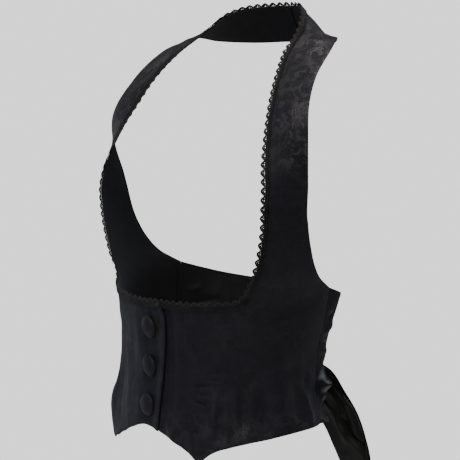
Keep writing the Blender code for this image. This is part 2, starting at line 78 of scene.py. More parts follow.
# How the right front's hem point is rounded: degrees off the centre front, reach in degrees, and metres down
HEM_ROUNDING = (
    (12.0, 6.0, 0.0014), (25.0, 9.0, 0.0042), (34.0, 3.5, 0.0022), (38.5, 2.6, -0.0030), (45.0, 5.0, 0.0070),
)

CLOTH = 0.0012
TUCK = 0.006  # how far a panel reaches under its neighbour at a seam
TUCK_SINK = CLOTH + 0.0004
TUCK_TAPER = 3  # grid steps over which a tuck narrows towards its ends
LIP = 0.0011  # how far a front laps over its back panel at the side seam
LIP_LIFT = 0.0003
MIRROR_SHIFT = (0.021, 0.033)  # moves the right front's figure, so that the two don't mirror each other
TURNED_EDGE = (0.006, 0.00028)  # the width and height of a front's turned edge
BACK_EDGE = (0.006, 0.00025)
BOW_EDGE = (0.004, 0.0003)
MERGE = 0.00001
THREAD_MERGE = 0.0000001
RIM_SHARP = math.radians(55.0)
RIM_TURN = (math.radians(55.0), math.radians(125.0))  # a wall's rim stands at about a right angle to its skins
CORNER_LIMIT = math.radians(150.0)


class Side(Enum):
    """The wearer's left or right, as the sign of x."""

    LEFT = 1
    RIGHT = -1

    @property
    def word(self) -> str:
        """'left' or 'right'."""
        return self.name.lower()


# ---------------------------- shader graphs


def operators(operation: str) -> tuple[Callable, Callable]:
    """An operator on wires and its reflected form.

    Args:
        operation: the Math node that either adds.

    Returns:
        The two methods.
    """

    def plain(self: "Wire", other: "Operand") -> "Wire":
        """This wire first."""
        return self.graph.math(operation, self, other)

    def reflected(self: "Wire", other: "Operand") -> "Wire":
        """This wire last."""
        return self.graph.math(operation, other, self)

    return plain, reflected


class Wire:
    """A shader socket that takes part in sums: an expression on it adds its Math nodes."""

    def __init__(self, graph: "Graph", socket: bpy.types.NodeSocket) -> None:
        """Args: graph: the graph that the socket is in. socket: the output socket."""
        self.graph = graph
        self.socket = socket

    __add__, __radd__ = operators("ADD")
    __sub__, __rsub__ = operators("SUBTRACT")
    __mul__, __rmul__ = operators("MULTIPLY")
    __truediv__, __rtruediv__ = operators("DIVIDE")
    __pow__, __rpow__ = operators("POWER")

    def size(self) -> "Wire":
        """The value without its sign."""
        return self.graph.math("ABSOLUTE", self)

    def sine(self) -> "Wire":
        """Sine, in radians."""
        return self.graph.math("SINE", self)

    def swing(self) -> "Wire":
        """Its sine, brought to between 0 and 1."""
        return self.sine() * 0.5 + 0.5

    def whole(self) -> "Wire":
        """The whole number below."""
        return self.graph.math("FLOOR", self)

    def part(self) -> "Wire":
        """What is left over the whole number below."""
        return self.graph.math("FRACT", self)

    def most(self, other: "Operand") -> "Wire":
        """The larger of two."""
        return self.graph.math("MAXIMUM", self, other)

    def rise(self, low: float, high: float) -> "Wire":
        """A smooth step from 0 to 1.

        Args:
            low: the value where it starts to leave 0.
            high: the value where it reaches 1. It may be the lower one, and then the step falls.

        Returns:
            The step.
        """
        sockets = {"Value": self, "From Min": low, "From Max": high, "To Min": 0.0, "To Max": 1.0}
        return self.graph.node("ShaderNodeMapRange", {"interpolation_type": "SMOOTHSTEP"}, sockets, "Result")


Operand = Union[Wire, float]
Plug = Union[Wire, float, Sequence[float]]
Plugs = dict[Union[str, int], Plug]


class Graph:
    """A material's node tree round its Principled shader."""

    def __init__(self, name: str) -> None:
        """Args: name: the material's name."""
        self.material = bpy.data.materials.new(name)
        self.material.use_nodes = True
        self.tree = self.material.node_tree

    def node(self, kind: str, settings: dict[str, object], sockets: Plugs, output: Union[str, int] = 0) -> Wire:
        """Adds a node.

        Args:
            kind: the node's type.
            settings: its own settings, which are set first.
            sockets: the values or wires of its inputs.
            output: the output that is wanted.

        Returns:
            The output's wire.
        """
        made = self.tree.nodes.new(kind)
        for name, value in settings.items():
            setattr(made, name, value)
        self.plug(made, sockets)
        return Wire(self, made.outputs[output])

    def plug(self, node: bpy.types.Node, sockets: Plugs) -> None:
        """Links or sets a node's inputs."""
        for name, value in sockets.items():
            socket = node.inputs[name]
            if isinstance(value, Wire):
                self.tree.links.new(value.socket, socket)
            elif isinstance(value, (int, float)):
                socket.default_value = value
            else:
                numbers = tuple(value)
                socket.default_value = numbers + (1.0,) * (len(socket.default_value) - len(numbers))

    def math(self, operation: str, *values: Operand) -> Wire:
        """A Math node on one or more values."""
        return self.node("ShaderNodeMath", {"operation": operation}, dict(enumerate(values)))

    def vector(self, operation: str, *values: Plug) -> Wire:
        """A Vector Math node."""
        return self.node("ShaderNodeVectorMath", {"operation": operation}, dict(enumerate(values)))

    def mix(self, share: Operand, low: Plug, high: Plug) -> Wire:
        """A colour between two others."""
        return self.node("ShaderNodeMix", {"data_type": "RGBA"}, {0: share, 6: low, 7: high}, 2)

    def split(self, vector: Wire) -> tuple[Wire, Wire]:
        """The first two numbers of a vector."""
        outputs = self.node("ShaderNodeSeparateXYZ", {}, {0: vector}).socket.node.outputs
        return Wire(self, outputs[0]), Wire(self, outputs[1])

    def cloth_place(self) -> Wire:
        """The UV layer 'cloth', in millimetres."""
        layer = self.node("ShaderNodeUVMap", {"uv_map": "cloth"}, {}, "UV")
        return self.node("ShaderNodeVectorMath", {"operation": "SCALE"}, {0: layer, "Scale": 1000.0})

    def object_place(self) -> Wire:
        """Object coordinates, in metres."""
        return self.node("ShaderNodeTexCoord", {}, {}, "Object")

    def noise(
        self, vector: Wire, scale: float, detail: float = 2.0, rough: float = 0.5, output: str = "Fac"
    ) -> Wire:
        """Soft noise from 0 to 1, or three of them with 'Color' as its output."""
        sockets = {"Vector": vector, "Scale": scale, "Detail": detail, "Roughness": rough}
        return self.node("ShaderNodeTexNoise", {}, sockets, output)

    def bump(self, height: Wire, distance: float, strength: float) -> Wire:
        """A normal from a height from 0 to 1, worth so many metres."""
        sockets = {"Strength": strength, "Distance": distance, "Height": height}
        return self.node("ShaderNodeBump", {}, sockets, "Normal")

    def finish(self, sockets: Plugs) -> Finish:
        """Sets the Principled shader's own sockets and gives the material."""
        self.plug(self.tree.nodes["Principled BSDF"], sockets)
        return self.material


# ---------------------------- finishes


@dataclass(frozen=True)
class Mottle:
    """Soft noise drawn apart into patches."""

    scale: float
    detail: float
    low: float  # the noise that is still 0
    high: float  # the noise that is already 1
    rough: float = 0.5

    def mask(self, place: Wire) -> Wire:
        """The patches, from 0 to 1."""
        return place.graph.noise(place, self.scale, self.detail, self.rough).rise(self.low, self.high)


@dataclass(frozen=True)
class Jacquard:
    """Black jacquard: a matt twill ground with glossier leaves, blossoms and sprigs in the same black.

    Its lengths are in millimetres on the cloth.
    """

    name: str = "jacquard"
    ground: Colour = (0.0092, 0.0081, 0.0134)
    deep: Colour = (0.0020, 0.0018, 0.0026)  # what a leaf sinks to in the shade
    leaf_dark: float = 0.75
    # The colour that the figure is painted towards: painted sheen on a figure that is really the same black
    motif_sheen: Colour = (0.0750, 0.0720, 0.0760)
    ground_rough: float = 0.70
    motif_rough: float = 0.40
    repeat: Pair = (58.0, 96.0)
    shift: Pair = (6.0, -14.0)
    warps: tuple[tuple[float, float, float], ...] = ((0.05, 3.0, 9.0), (0.42, 2.0, 2.8))  # scale, detail, reach
    worn: Mottle = Mottle(0.035, 3.0, 0.34, 0.66)
    clump: Mottle = Mottle(0.085, 5.0, 0.465, 0.525, 0.62)
    cloud: Mottle = Mottle(0.028, 3.0, 0.30, 0.68)
    clump_gloss: float = 0.27
    line_gloss: float = 1.7
    twill: float = 0.85
    weft: float = 0.55
    relief: float = 0.00026  # metres
    # Painted light: how strongly the figure is painted lighter, and its leaves darker, where the light picks it out:
    # everywhere, from a height up, from the hem's height down as painted glints, and on the front that faces the
    # key light, by its X in metres
    faint: float = 0.26
    strap_painted_light: Pair = (-165.0, -108.0)
    hem: Pair = (-384.0, -416.0)
    hem_painted_light: float = 0.60
    far_side: Pair = (0.004, -0.028)
    key_side_painted_light: float = 0.46
    line_weight: float = 1.0
    # A leaf: its middle, its turn in degrees, and half its length and width
    leaves: tuple[tuple[Pair, float, Pair], ...] = (
        ((16.0, 27.0), 38.0, (12.0, 5.4)), ((-15.0, 24.0), 148.0, (12.0, 5.2)), ((2.0, 35.0), 100.0, (9.5, 4.2)),
        ((-22.0, 39.0), 60.0, (9.0, 4.0)), ((21.0, -22.0), -52.0, (11.0, 4.6)), ((-17.0, -24.0), 236.0, (11.5, 4.6)),
        ((-12.0, -3.0), 84.0, (6.5, 3.2)), ((13.0, -38.0), 170.0, (8.5, 3.6)), ((-9.0, -37.0), 10.0, (8.5, 3.6)),
    )
    # The curls at a sprig's tips: the middle and the radius of each
    curls: tuple[tuple[Pair, float], ...] = (
        ((4.6, 8.0), 2.2), ((3.4, 13.4), 1.7), ((7.2, 3.6), 1.5), ((4.4, -2.0), 1.4),
    )

    def in_repeat(self, x: Wire, y: Wire) -> tuple[Wire, Wire]:
        """Distances from the middle of the half-drop repeat, from a place on the cloth."""
        wide, long = self.repeat
        column = (x + self.shift[0]) / wide
        row = (y + self.shift[1]) / long + (column.whole() * 0.5).part()
        return (column.part() - 0.5) * wide, (row.part() - 0.5) * long

    def blossom(self, x: Wire, y: Wire) -> Wire:
        """A five-petalled blossom with ribbed petals, 24 mm across."""
        far = (x * x + y * y) ** 0.5
        turn = x.graph.math("ARCTAN2", y, x)
        petals = (far - (8.6 + (turn * 5.0).sine() * 3.4)).rise(0.7, -0.7)
        ribs = (turn * 20.0).swing() * far.rise(3.0, 7.0) * 0.5
        eye = (far - 2.4).size().rise(0.9, 0.3)
        return petals * (1.0 - ribs) * (1.0 - eye)

    def leaf(self, x: Wire, y: Wire, middle: Pair, turn: float, size: Pair) -> Wire:
        """A pointed leaf with a midrib and side ribs.

        Args:
            x: the place across.
            y: the place along.
            middle: its middle.
            turn: its angle in degrees.
            size: half its length and half its width.

        Returns:
            A mask from 0 to 1.
        """
        cosine, sine = math.cos(math.radians(turn)), math.sin(math.radians(turn))
        long, wide = size
        along = (x - middle[0]) * cosine + (y - middle[1]) * sine
        across = ((y - middle[1]) * cosine - (x - middle[0]) * sine).size()
        body = (across - (1.0 - (along / long) ** 2.0) * wide).rise(0.4, -0.4)
        ribs = (along * 2.6 - across * 2.0).swing() * 0.55
        return body * (1.0 - ribs) * (1.0 - across.rise(0.55, 0.2))

    def sprig(self, x: Wire, y: Wire) -> Wire:
        """A branching sprig of thin lines, 16 mm wide and 30 mm long, with curls at its tips."""
        side = x.size()
        wavy = side - 1.7 - (y * 0.45).sine() * 0.7 - (y * -1.0).most(0.0) * 0.30
        mask = wavy.size().rise(1.0, 0.4) * y.size().rise(15.5, 14.0)
        mask = mask.most(side.rise(0.75, 0.3) * (y - 1.0).size().rise(5.5, 4.5))
        for (across, along), radius in self.curls:
            far = ((side - across) ** 2.0 + (y - along) ** 2.0) ** 0.5
            mask = mask.most((far - radius).size().rise(0.75, 0.25))
        return mask

    def material(self) -> Finish:
        """The finish as a Blender material that reads the UV layer 'cloth'."""
        graph = Graph(self.name)
        warped = place = graph.cloth_place()
        px, py = graph.split(place)
        for scale, detail, reach in self.warps:
            push = graph.vector("SUBTRACT", graph.noise(place, scale, detail, output="Color"), (0.5, 0.5, 0.5))
            warped = graph.vector("ADD", warped, graph.vector("MULTIPLY", push, (reach, reach, 0.0)))
        x, y = self.in_repeat(*graph.split(warped))
        leaves = self.blossom(x - 1.0, (y.size() - self.repeat[1] / 2) * -1.0)
        for middle, turn, size in self.leaves:
            leaves = leaves.most(self.leaf(x, y, middle, turn, size))
        lines = self.sprig(x, y)

        worn, clump, cloud = self.worn.mask(place), self.clump.mask(warped), self.cloud.mask(place)
        fine = graph.noise(place, 1.1, 3.0, 0.65)
        # The painted light share: low everywhere, higher on the straps, at the hem and on the front that faces the
        # key light
        painted_light_share = py.rise(*self.strap_painted_light) * (1.0 - self.faint) + self.faint
        painted_light_share = painted_light_share.most(py.rise(*self.hem) * self.hem_painted_light)
        painted_light_share = painted_light_share.most(graph.split(graph.object_place())[0].rise(*self.far_side) * self.key_side_painted_light)
        # Painted sheen: the ground's clumps and the sprigs are painted lighter by the painted light share; the same
        # figure also sets roughness and coat
        ground = (clump * (0.07 + painted_light_share * self.clump_gloss) + 0.07) * (0.45 + cloud * 0.8)
        picked = (worn * 0.5 + 0.5) * painted_light_share**4.0 * self.line_weight
        figure = ground * (1.0 - leaves * (0.75 + worn * 0.25)) * painted_light_share + lines * picked * self.line_gloss
        figure = figure * (0.65 + fine * 0.7)
        # Painted shade: the leaves are darkened towards 'deep' by the painted light share
        painted_leaf_shade = leaves * ((worn * 0.6 + 0.4) * (painted_light_share * 0.83 + 0.04)) * self.leaf_dark

        mask = leaves.most(lines).most(clump * 0.6)
        twill = ((px + py) * (math.tau / self.twill)).swing()
        weft = (py * (math.tau / self.weft)).swing()
        height = twill * 0.25 * (1.0 - mask) + weft * 0.12 * mask + mask * 0.75 + fine * 0.25
        return graph.finish({
            "Base Color": graph.mix(figure, graph.mix(painted_leaf_shade, self.ground, self.deep), self.motif_sheen),
            "Roughness": self.ground_rough - figure * (self.ground_rough - self.motif_rough),
            "Normal": graph.bump(height, self.relief, 0.8),
            "Specular IOR Level": 0.30,
            "Coat Weight": figure * 0.55,
            "Coat Roughness": 0.34,
            "Sheen Weight": 0.10,
            "Sheen Roughness": 0.45,
        })


@dataclass(frozen=True)
class Satin:
    """Black satin: smooth and glossy, with fine weft lines and a faint cast of its own."""

    name: str
    colour: Colour
    cast: Colour
    rough: float
    specular: float = 0.42
    weft: float = 0.42  # millimetres
    warp: float = 0.60
    mottle: Mottle = Mottle(0.05, 3.0, 0.3, 0.7)
    relief: float = 0.00005  # metres

    def material(self) -> Finish:
        """The finish as a Blender material that reads the UV layer 'cloth'."""
        graph = Graph(self.name)
        place = graph.cloth_place()
        x, y = graph.split(place)
        slub = graph.noise(graph.vector("MULTIPLY", place, (0.25, 3.0, 1.0)), 0.8, 2.0)
        weft = (y * (math.tau / self.weft)).swing()
        warp = (x * (math.tau / self.warp)).swing()
        return graph.finish({
            "Base Color": graph.mix(self.mottle.mask(place), self.colour, self.cast),
            "Roughness": self.rough + slub * 0.10,
            "Normal": graph.bump(weft * 0.4 + warp * 0.15 + slub * 0.6, self.relief, 0.7),
            "Specular IOR Level": self.specular,
            "Anisotropic": 0.35,
            "Sheen Weight": 0.08,
            "Sheen Roughness": 0.4,
        })


@dataclass(frozen=True)
class Yarn:
    """Matt cotton or thread with a twisted ply."""

    name: str
    colour: Colour
    rough: float = 0.78
    lighter: float = 2.0  # how much lighter its worn places are
    shade: Mottle = Mottle(90.0, 2.0, 0.3, 0.8)
    fuzz: float = 2600.0
    relief: float = 0.00012

    def material(self) -> Finish:
        """The finish as a Blender material on object coordinates."""
        graph = Graph(self.name)
        place = graph.object_place()
        fuzz = graph.noise(place, self.fuzz)
        light = tuple(channel * self.lighter for channel in self.colour)
        return graph.finish({
            "Base Color": graph.mix(self.shade.mask(place), self.colour, light),
            "Roughness": self.rough - fuzz * 0.1,
            "Normal": graph.bump(fuzz, self.relief, 0.9),
            "Specular IOR Level": 0.25,
            "Sheen Weight": 0.12,
        })


@dataclass(frozen=True)
class Backdrop:
    """The pale studio floor."""

    name: str = "studio_paper"
    colour: Colour = (0.93, 0.93, 0.93)
    darker: float = 0.985
    grain: float = 35.0

    def material(self) -> Finish:
        """The finish as a Blender material on object coordinates."""
        graph = Graph(self.name)
        grain = graph.noise(graph.object_place(), self.grain)
        dark = tuple(channel * self.darker for channel in self.colour)
        return graph.finish({
            "Base Color": graph.mix(grain, dark, self.colour),
            "Roughness": 0.9 - grain * 0.05,
            "Specular IOR Level": 0.1,
        })


JACQUARD = Jacquard().material()
# The button cloth keeps the painted light share low and even, and has no sprig lines
BUTTON_CLOTH = Jacquard(
    name="button_cloth", line_weight=0.0, faint=0.30, strap_painted_light=(900.0, 1000.0), ground_rough=0.66,
    hem=(-900.0, -1000.0), key_side_painted_light=0.0,
).material()
LINING = Satin("lining", (0.0075, 0.0075, 0.0085), (0.0100, 0.0100, 0.0115), 0.58, 0.20).material()
BACK_SATIN = Satin("back_satin", (0.0042, 0.0046, 0.0070), (0.0078, 0.0088, 0.0135), 0.28).material()
BOW_SATIN = Satin("bow_satin", (0.0072, 0.0068, 0.0056), (0.0105, 0.0100, 0.0086), 0.38, 0.32).material()
RIBBON = Satin("ribbon", (0.0060, 0.0062, 0.0078), (0.0100, 0.0104, 0.0130), 0.24).material()
LACE_COTTON = Yarn("lace_cotton", (0.0118, 0.0114, 0.0102)).material()
STITCHING = Yarn("stitching", (0.0080, 0.0080, 0.0090), 0.6).material()


# ---------------------------- numbers on grids


def unit(vectors: Array) -> Array:
    """Vectors made one long."""
    return vectors / np.maximum(np.linalg.norm(vectors, axis=-1, keepdims=True), 1e-12)


def bounded(values: Array) -> Array:
    """Values cut off below 0 and above 1."""
    return np.clip(values, 0.0, 1.0)


def bell(values: Array, middle: Spread, width: float) -> Array:
    """A soft bump of height 1 round a middle."""
    return np.exp(-(((values - middle) / width) ** 2))


def slopes(values: Array) -> Array:
    """Central differences on axis 0."""
    return np.gradient(values, axis=0)


def hermite(values: Array, before: Array, after: Array, steps: int) -> Array:
    """Refines rows by cubic curves through them.

    Args:
        values: the rows, stacked on axis 0.
        before: each row's slope as the end of a stretch.
        after: each row's slope as the start of a stretch.
        steps: new rows for each old one.

    Returns:
        The refined rows.
    """
    made = []
    for k in range(len(values) - 1):
        for t in np.arange(steps) / steps:
            made.append(
                (2 * t**3 - 3 * t * t + 1) * values[k] + (t**3 - 2 * t * t + t) * after[k]
                + (3 * t * t - 2 * t**3) * values[k + 1] + (t**3 - t * t) * before[k + 1]
            )
    return np.array(made + [values[-1]])


def edge_roll(across: Array, width: float, depth: float) -> Array:
    """A soft ridge beside both ends of a run across, where the turned edge lies double."""
    near = np.minimum(across, across[:, -1:] - across)
    return depth * bell(near, width * 0.5, width * 0.6) - depth * 0.9 * bell(near, 0.0, 0.0008)


# ---------------------------- the skins of the solids


def from_axis(point: Vector) -> Vector:
    """Away from the vest's upright axis."""
    return Vector((point.x, point.y - AXIS_Y, 0.0))


class Skin:
    """Reads the outer skin of a cloth solid back as the rows of points that it was lofted from."""

    def __init__(self, node: str, across: int, outward: Outward) -> None:
        """Reads one node.

        Args:
            node: the CAD node.
            across: how many faces the loft has across its rows.
            outward: the direction that the outer skin faces at a point.
        """
        build = bmesh.new()
        build.from_mesh(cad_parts[node].data)
        bmesh.ops.remove_doubles(build, verts=build.verts, dist=MERGE)
        build.normal_update()
        self.patch = self.outer_patch(build, outward)
        self.rows = np.array([[tuple(vert.co) for vert in row] for row in self.walk(across)])
        build.free()
        corner, right, ahead = self.rows[0, 0], self.rows[0, 1], self.rows[1, 0]
        turn = np.cross(right - corner, ahead - corner)
        self.flipped = bool(turn @ np.array(outward(Vector(corner))) < 0)

    def outer_patch(self, build: bmesh.types.BMesh, outward: Outward) -> set[Face]:
        """The faces of the outer skin: floods that stop at the rim, the larger two being the skins."""
        patches = []
        left = set(build.faces)
        while left:
            stack = [left.pop()]
            patch = set(stack)
            while stack:
                for edge in stack.pop().edges:
                    if len(edge.link_faces) == 2 and RIM_TURN[0] < edge.calc_face_angle(0.0) < RIM_TURN[1]:
                        continue
                    fresh = left.intersection(edge.link_faces)
                    left -= fresh
                    patch |= fresh
                    stack += fresh
            patches.append(patch)
        patches.sort(key=lambda patch: -sum(face.calc_area() for face in patch))
        return max(
            patches[:2],
            key=lambda patch: sum(face.normal.dot(outward(face.calc_center_median())) for face in patch),
        )

    def rim(self) -> list[Vert]:
        """The skin's edge as one loop of vertices."""
        after: dict[Vert, list[Vert]] = {}
        for face in self.patch:
            for edge in face.edges:
                if sum(other in self.patch for other in edge.link_faces) == 1:
                    near, far = edge.verts
                    after.setdefault(near, []).append(far)
                    after.setdefault(far, []).append(near)
        first = next(iter(after))
        loop = [first, after[first][0]]
        while True:
            ahead = next(vert for vert in after[loop[-1]] if vert is not loop[-2])
            if ahead is first:
                return loop
            loop.append(ahead)

    def third(self, one: Vert, two: Vert) -> Vert:
        """The last vertex of the triangle that is left on an edge, which is then taken off."""
        face = next(face for face in one.link_faces if face in self.patch and two in face.verts)
        self.patch.remove(face)
        return next(vert for vert in face.verts if vert is not one and vert is not two)

    def walk(self, across: int) -> list[list[Vert]]:
        """Zips the triangles back into rows, one after the other."""
        loop = self.rim()
        count = len(loop)
        along = count // 2 - across
        turns = [sum(c.calc_angle() for c in vert.link_loops if c.face in self.patch) for vert in loop]

        def misfit(start: int) -> float:
            """How far four places are from being the corners."""
            spots = (start, start + across, start + across + along, start + 2 * across + along)
            four = [turns[spot % count] for spot in spots]
            return sum(abs(turn - math.pi / 2) + 9.0 * (turn > CORNER_LIMIT) for turn in four)

        start = min(range(count), key=misfit)
        rows = [[loop[(start + k) % count] for k in range(across + 1)]]
        for step in range(1, along + 1):
            row = rows[-1]
            made = [loop[(start - step) % count]]
            for one, two in zip(row[:-1], row[1:]):
                tip = self.third(one, two)
                if tip is made[-1]:
                    tip = self.third(two, tip)
                else:
                    self.third(one, tip)
                made.append(tip)
            rows.append(made)
        return rows


class Surface:
    """A smooth sheet as a grid of points, its rows running across the cloth."""

    def __init__(self, points: Array, flipped: bool = False) -> None:
        """Args: points: rows by columns by xyz. flipped: whether its rows and columns turn the other way."""
        self.points = points
        self.flipped = flipped

    @classmethod
    def of_node(cls, node: str, across: int, start: Sequence[float], outward: Outward = from_axis) -> "Surface":
        """The outer skin of a node.

        Args:
            node: the CAD node.
            across: how many faces its loft has across its rows.
            start: a point near the corner where row 0 and column 0 meet.
            outward: the direction that its outer skin faces.

        Returns:
            The surface.
        """
        skin = Skin(node, across, outward)
        corners = skin.rows[[0, -1]][:, [0, -1]]
        late_row, late_column = divmod(int(np.linalg.norm(corners - np.array(start), axis=2).argmin()), 2)
        rows = skin.rows[:: -1 if late_row else 1, :: -1 if late_column else 1]
        return cls(rows, skin.flipped != (late_row != late_column))

    def refined(self, along: int, across: int, sharp_rows: Sequence[int] = ()) -> "Surface":
        """A finer grid through the same points.

        Args:
            along: new rows for each old one.
            across: new columns for each old one.
            sharp_rows: rows where the last column turns a corner, which stays sharp.

        Returns:
            The finer surface.
        """
        columns = np.swapaxes(self.points, 0, 1)
        rows = np.swapaxes(hermite(columns, slopes(columns), slopes(columns), across), 0, 1)
        before = slopes(rows)
        after = before.copy()
        reach = np.linspace(0.0, 1.0, rows.shape[1])[:, None] ** 0.5
        for k in sharp_rows:
            before[k] = before[k] * (1 - reach) + (rows[k] - rows[k - 1]) * reach
            after[k] = after[k] * (1 - reach) + (rows[k + 1] - rows[k]) * reach
        return Surface(hermite(rows, before, after, along), self.flipped)

    def normals(self) -> Array:
        """The outward normal at each point."""
        across, along = np.gradient(self.points, axis=1), np.gradient(self.points, axis=0)
        return unit(np.cross(across, along)) * (-1.0 if self.flipped else 1.0)

    def run(self, axis: int) -> Array:
        """The distance of each point from the first row, with axis 0, or the first column, with axis 1."""
        steps = np.linalg.norm(np.diff(self.points, axis=axis), axis=2)
        return np.pad(np.cumsum(steps, axis=axis), [(1, 0) if k == axis else (0, 0) for k in range(2)])

    def moved(self, height: Array) -> "Surface":
        """The surface moved out along its normals by so many metres at each point."""
        return Surface(self.points + self.normals() * height[:, :, None], self.flipped)

    def tucked(self, last: bool) -> "Surface":
        """Adds a seam allowance past the first or the last row, which lies under the neighbour."""
        edge, inner = self.points[[-1, -2] if last else [0, 1]]
        normal = self.normals()[-1 if last else 0]
        onward = unit(edge - inner)
        steps = np.arange(len(edge))
        share = np.clip(np.minimum(steps, steps[::-1]) / TUCK_TAPER, 0.02, 1.0)[:, None]
        under = [edge + onward * 0.0001 - normal * TUCK_SINK, edge + onward * TUCK * share - normal * TUCK_SINK * 1.8]
        parts = [self.points, under] if last else [under[::-1], self.points]
        return Surface(np.concatenate(parts), self.flipped)

    def lipped(self, first: int, last: int) -> "Surface":
        """Adds a narrow lip past the last column, from one row to another, over the neighbour's edge."""
        edge = self.points[:, -1]
        rows = np.arange(len(edge))
        share = bounded(np.minimum(rows - first, last - rows) / 2)[:, None]
        lip = edge + unit(edge - self.points[:, -2]) * (0.00005 + LIP * share)
        lip += self.normals()[:, -1] * LIP_LIFT * share
        return Surface(np.concatenate([self.points, lip[:, None]], axis=1), self.flipped)

    def area(self) -> float:
        """The sheet's area in square metres."""
        across, along = np.diff(self.points, axis=1)[:-1], np.diff(self.points, axis=0)[:, :-1]
        return float(np.linalg.norm(np.cross(across, along), axis=2).sum())


# ---------------------------- creases


@dataclass(frozen=True)
class Crease:
    """A soft trough or ridge, placed in the cloth's own metres."""

    start: Pair
    end: Pair
    width: float
    depth: float
    fade: float = 1.6  # how far it runs out past its ends, in widths

    def height(self, across: Array, along: Array) -> Array:
        """How far it moves the cloth out.

        Args:
            across: each point's place across the cloth, in metres.
            along: each point's place along it.

        Returns:
            The height at each point.
        """
        run = (self.end[0] - self.start[0], self.end[1] - self.start[1])
        length = math.hypot(*run)
        ahead = ((across - self.start[0]) * run[0] + (along - self.start[1]) * run[1]) / length
        aside = ((along - self.start[1]) * run[0] - (across - self.start[0]) * run[1]) / length
        share = ahead / length
        past = np.maximum(np.maximum(-ahead, ahead - length), 0.0)
        body = bounded(0.55 + 1.8 * share * (1 - share))
        return self.depth * body * bell(aside, 0.0, self.width) * bell(past, 0.0, self.width * self.fade)


FoldRow = tuple[float, float, float, float, float, float]


def folds(gain: float, *rows: FoldRow, fade: float = 1.6) -> tuple[Crease, ...]:
    """Creases on the torso.

    Args:
        gain: what all their depths are multiplied by.
        rows: the start's degrees off the centre front and its height in millimetres, the same of the end, and
            the width and depth in millimetres.
        fade: how far they run out past their ends, in widths.

    Returns:
        The creases.
    """
    return tuple(
        Crease((a * ARC_A_DEGREE, b / 1000), (c * ARC_A_DEGREE, d / 1000), width / 1000, gain * depth / 1000, fade)
        for a, b, c, d, width, depth in rows
    )


def heights(creases: Sequence[Crease], across: Array, along: Array) -> Array:
    """The sum of all creases."""
    return sum(crease.height(across, along) for crease in creases)


# ---------------------------- making objects


def placed(name: str, data: bpy.types.ID) -> Piece:
    """A new object in the scene."""
    made = bpy.data.objects.new(name, data)
    bpy.context.scene.collection.objects.link(made)
    return made


def finished(name: str, build: bmesh.types.BMesh, *finishes: Finish) -> Piece:
    """A smooth object from a bmesh, which is used up, with its finishes."""
    for face in build.faces:
        face.smooth = True
    mesh = bpy.data.meshes.new(name)
    build.to_mesh(mesh)
    build.free()
    for finish in finishes:
        mesh.materials.append(finish)
    return placed(name, mesh)


def lay(verts: Sequence[Vert], points: Array) -> None:
    """Moves vertices to a grid of points, in order."""
    for vert, point in zip(verts, points.reshape(-1, 3)):
        vert.co = point


def sheet_object(
    name: str, surface: Surface, chart: Sequence[Array], outer: Finish, inner: Finish, thickness: float = CLOTH
) -> Piece:
    """A sheet of cloth: a grid laid on a surface, and its wrong side extruded from it.

    Args:
        name: the piece's name.
        surface: its right side.
        chart: each point's place across and along the cloth, in metres.
        outer: the finish of its right side.
        inner: the finish of its wrong side.
        thickness: how far the cloth reaches in.

    Returns:
        The object.
    """
    rows, columns = surface.points.shape[:2]
    build = bmesh.new()
    right = bmesh.ops.create_grid(build, x_segments=columns - 1, y_segments=rows - 1)["verts"]
    whole = build.verts[:] + build.edges[:] + build.faces[:]
    made = bmesh.ops.extrude_face_region(build, geom=whole, use_keep_orig=True)["geom"]
    lay(right, surface.points)
    lay([part for part in made if isinstance(part, Vert)], surface.points - surface.normals() * thickness)
    for part in made:
        if isinstance(part, Face):
            part.material_index = 1
    bmesh.ops.recalc_face_normals(build, faces=build.faces)
    piece = finished(name, build, outer, inner)
    mesh = piece.data
    corners = np.zeros(len(mesh.loops), dtype=np.int32)
    mesh.loops.foreach_get("vertex_index", corners)
    places = np.stack([part.reshape(-1) for part in chart], axis=1)[corners % (rows * columns)]
    mesh.uv_layers.new(name="cloth").data.foreach_set("uv", places.reshape(-1).astype(np.float32))
    mesh.set_sharp_from_angle(angle=RIM_SHARP)
    return piece


@dataclass
class Strand:
    """A thread or narrow band that lies on a surface."""

    points: Array
    normals: Array
    half_width: float
    half_height: float

    def rings(self, sides: int) -> Array:
        """The closed rings of points round it, the last point of each on its first."""
        ahead = slopes(self.points)
        aside = unit(np.cross(ahead, self.normals))
        up = unit(np.cross(aside, ahead))
        turn = np.linspace(0.0, math.tau, sides + 1)[None, :, None]
        wide, high = self.half_width * np.cos(turn), self.half_height * np.sin(turn)
        return self.points[:, None] + aside[:, None] * wide + up[:, None] * high


def thread_object(name: str, strands: Sequence[Strand], sides: int, finish: Finish) -> Piece:
    """Many threads as one mesh: a grid rolled round each, welded and filled at its ends.

    Args:
        name: the piece's name.
        strands: the threads.
        sides: faces round each.
        finish: their finish.

    Returns:
        The object.
    """
    build = bmesh.new()
    for strand in strands:
        rings = strand.rings(sides)
        lay(bmesh.ops.create_grid(build, x_segments=sides, y_segments=len(rings) - 1)["verts"], rings)
    bmesh.ops.remove_doubles(build, verts=build.verts, dist=THREAD_MERGE)
    bmesh.ops.holes_fill(build, edges=build.edges, sides=sides)
    bmesh.ops.recalc_face_normals(build, faces=build.faces)
    return finished(name, build, finish)


def settle(piece: Piece, slot: str, *nodes: str) -> Piece:
    """Makes a piece ride on the vest and stand for its nodes.

    Args:
        piece: the piece.
        slot: not used.
        nodes: the CAD nodes that it stands for.

    Returns:
        The piece.
    """
    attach(piece, BODY)
    if nodes:
        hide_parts(*nodes)
    LOG.info("%s: %d faces", piece.name, len(piece.data.polygons))
    return piece


# ---------------------------- the fronts


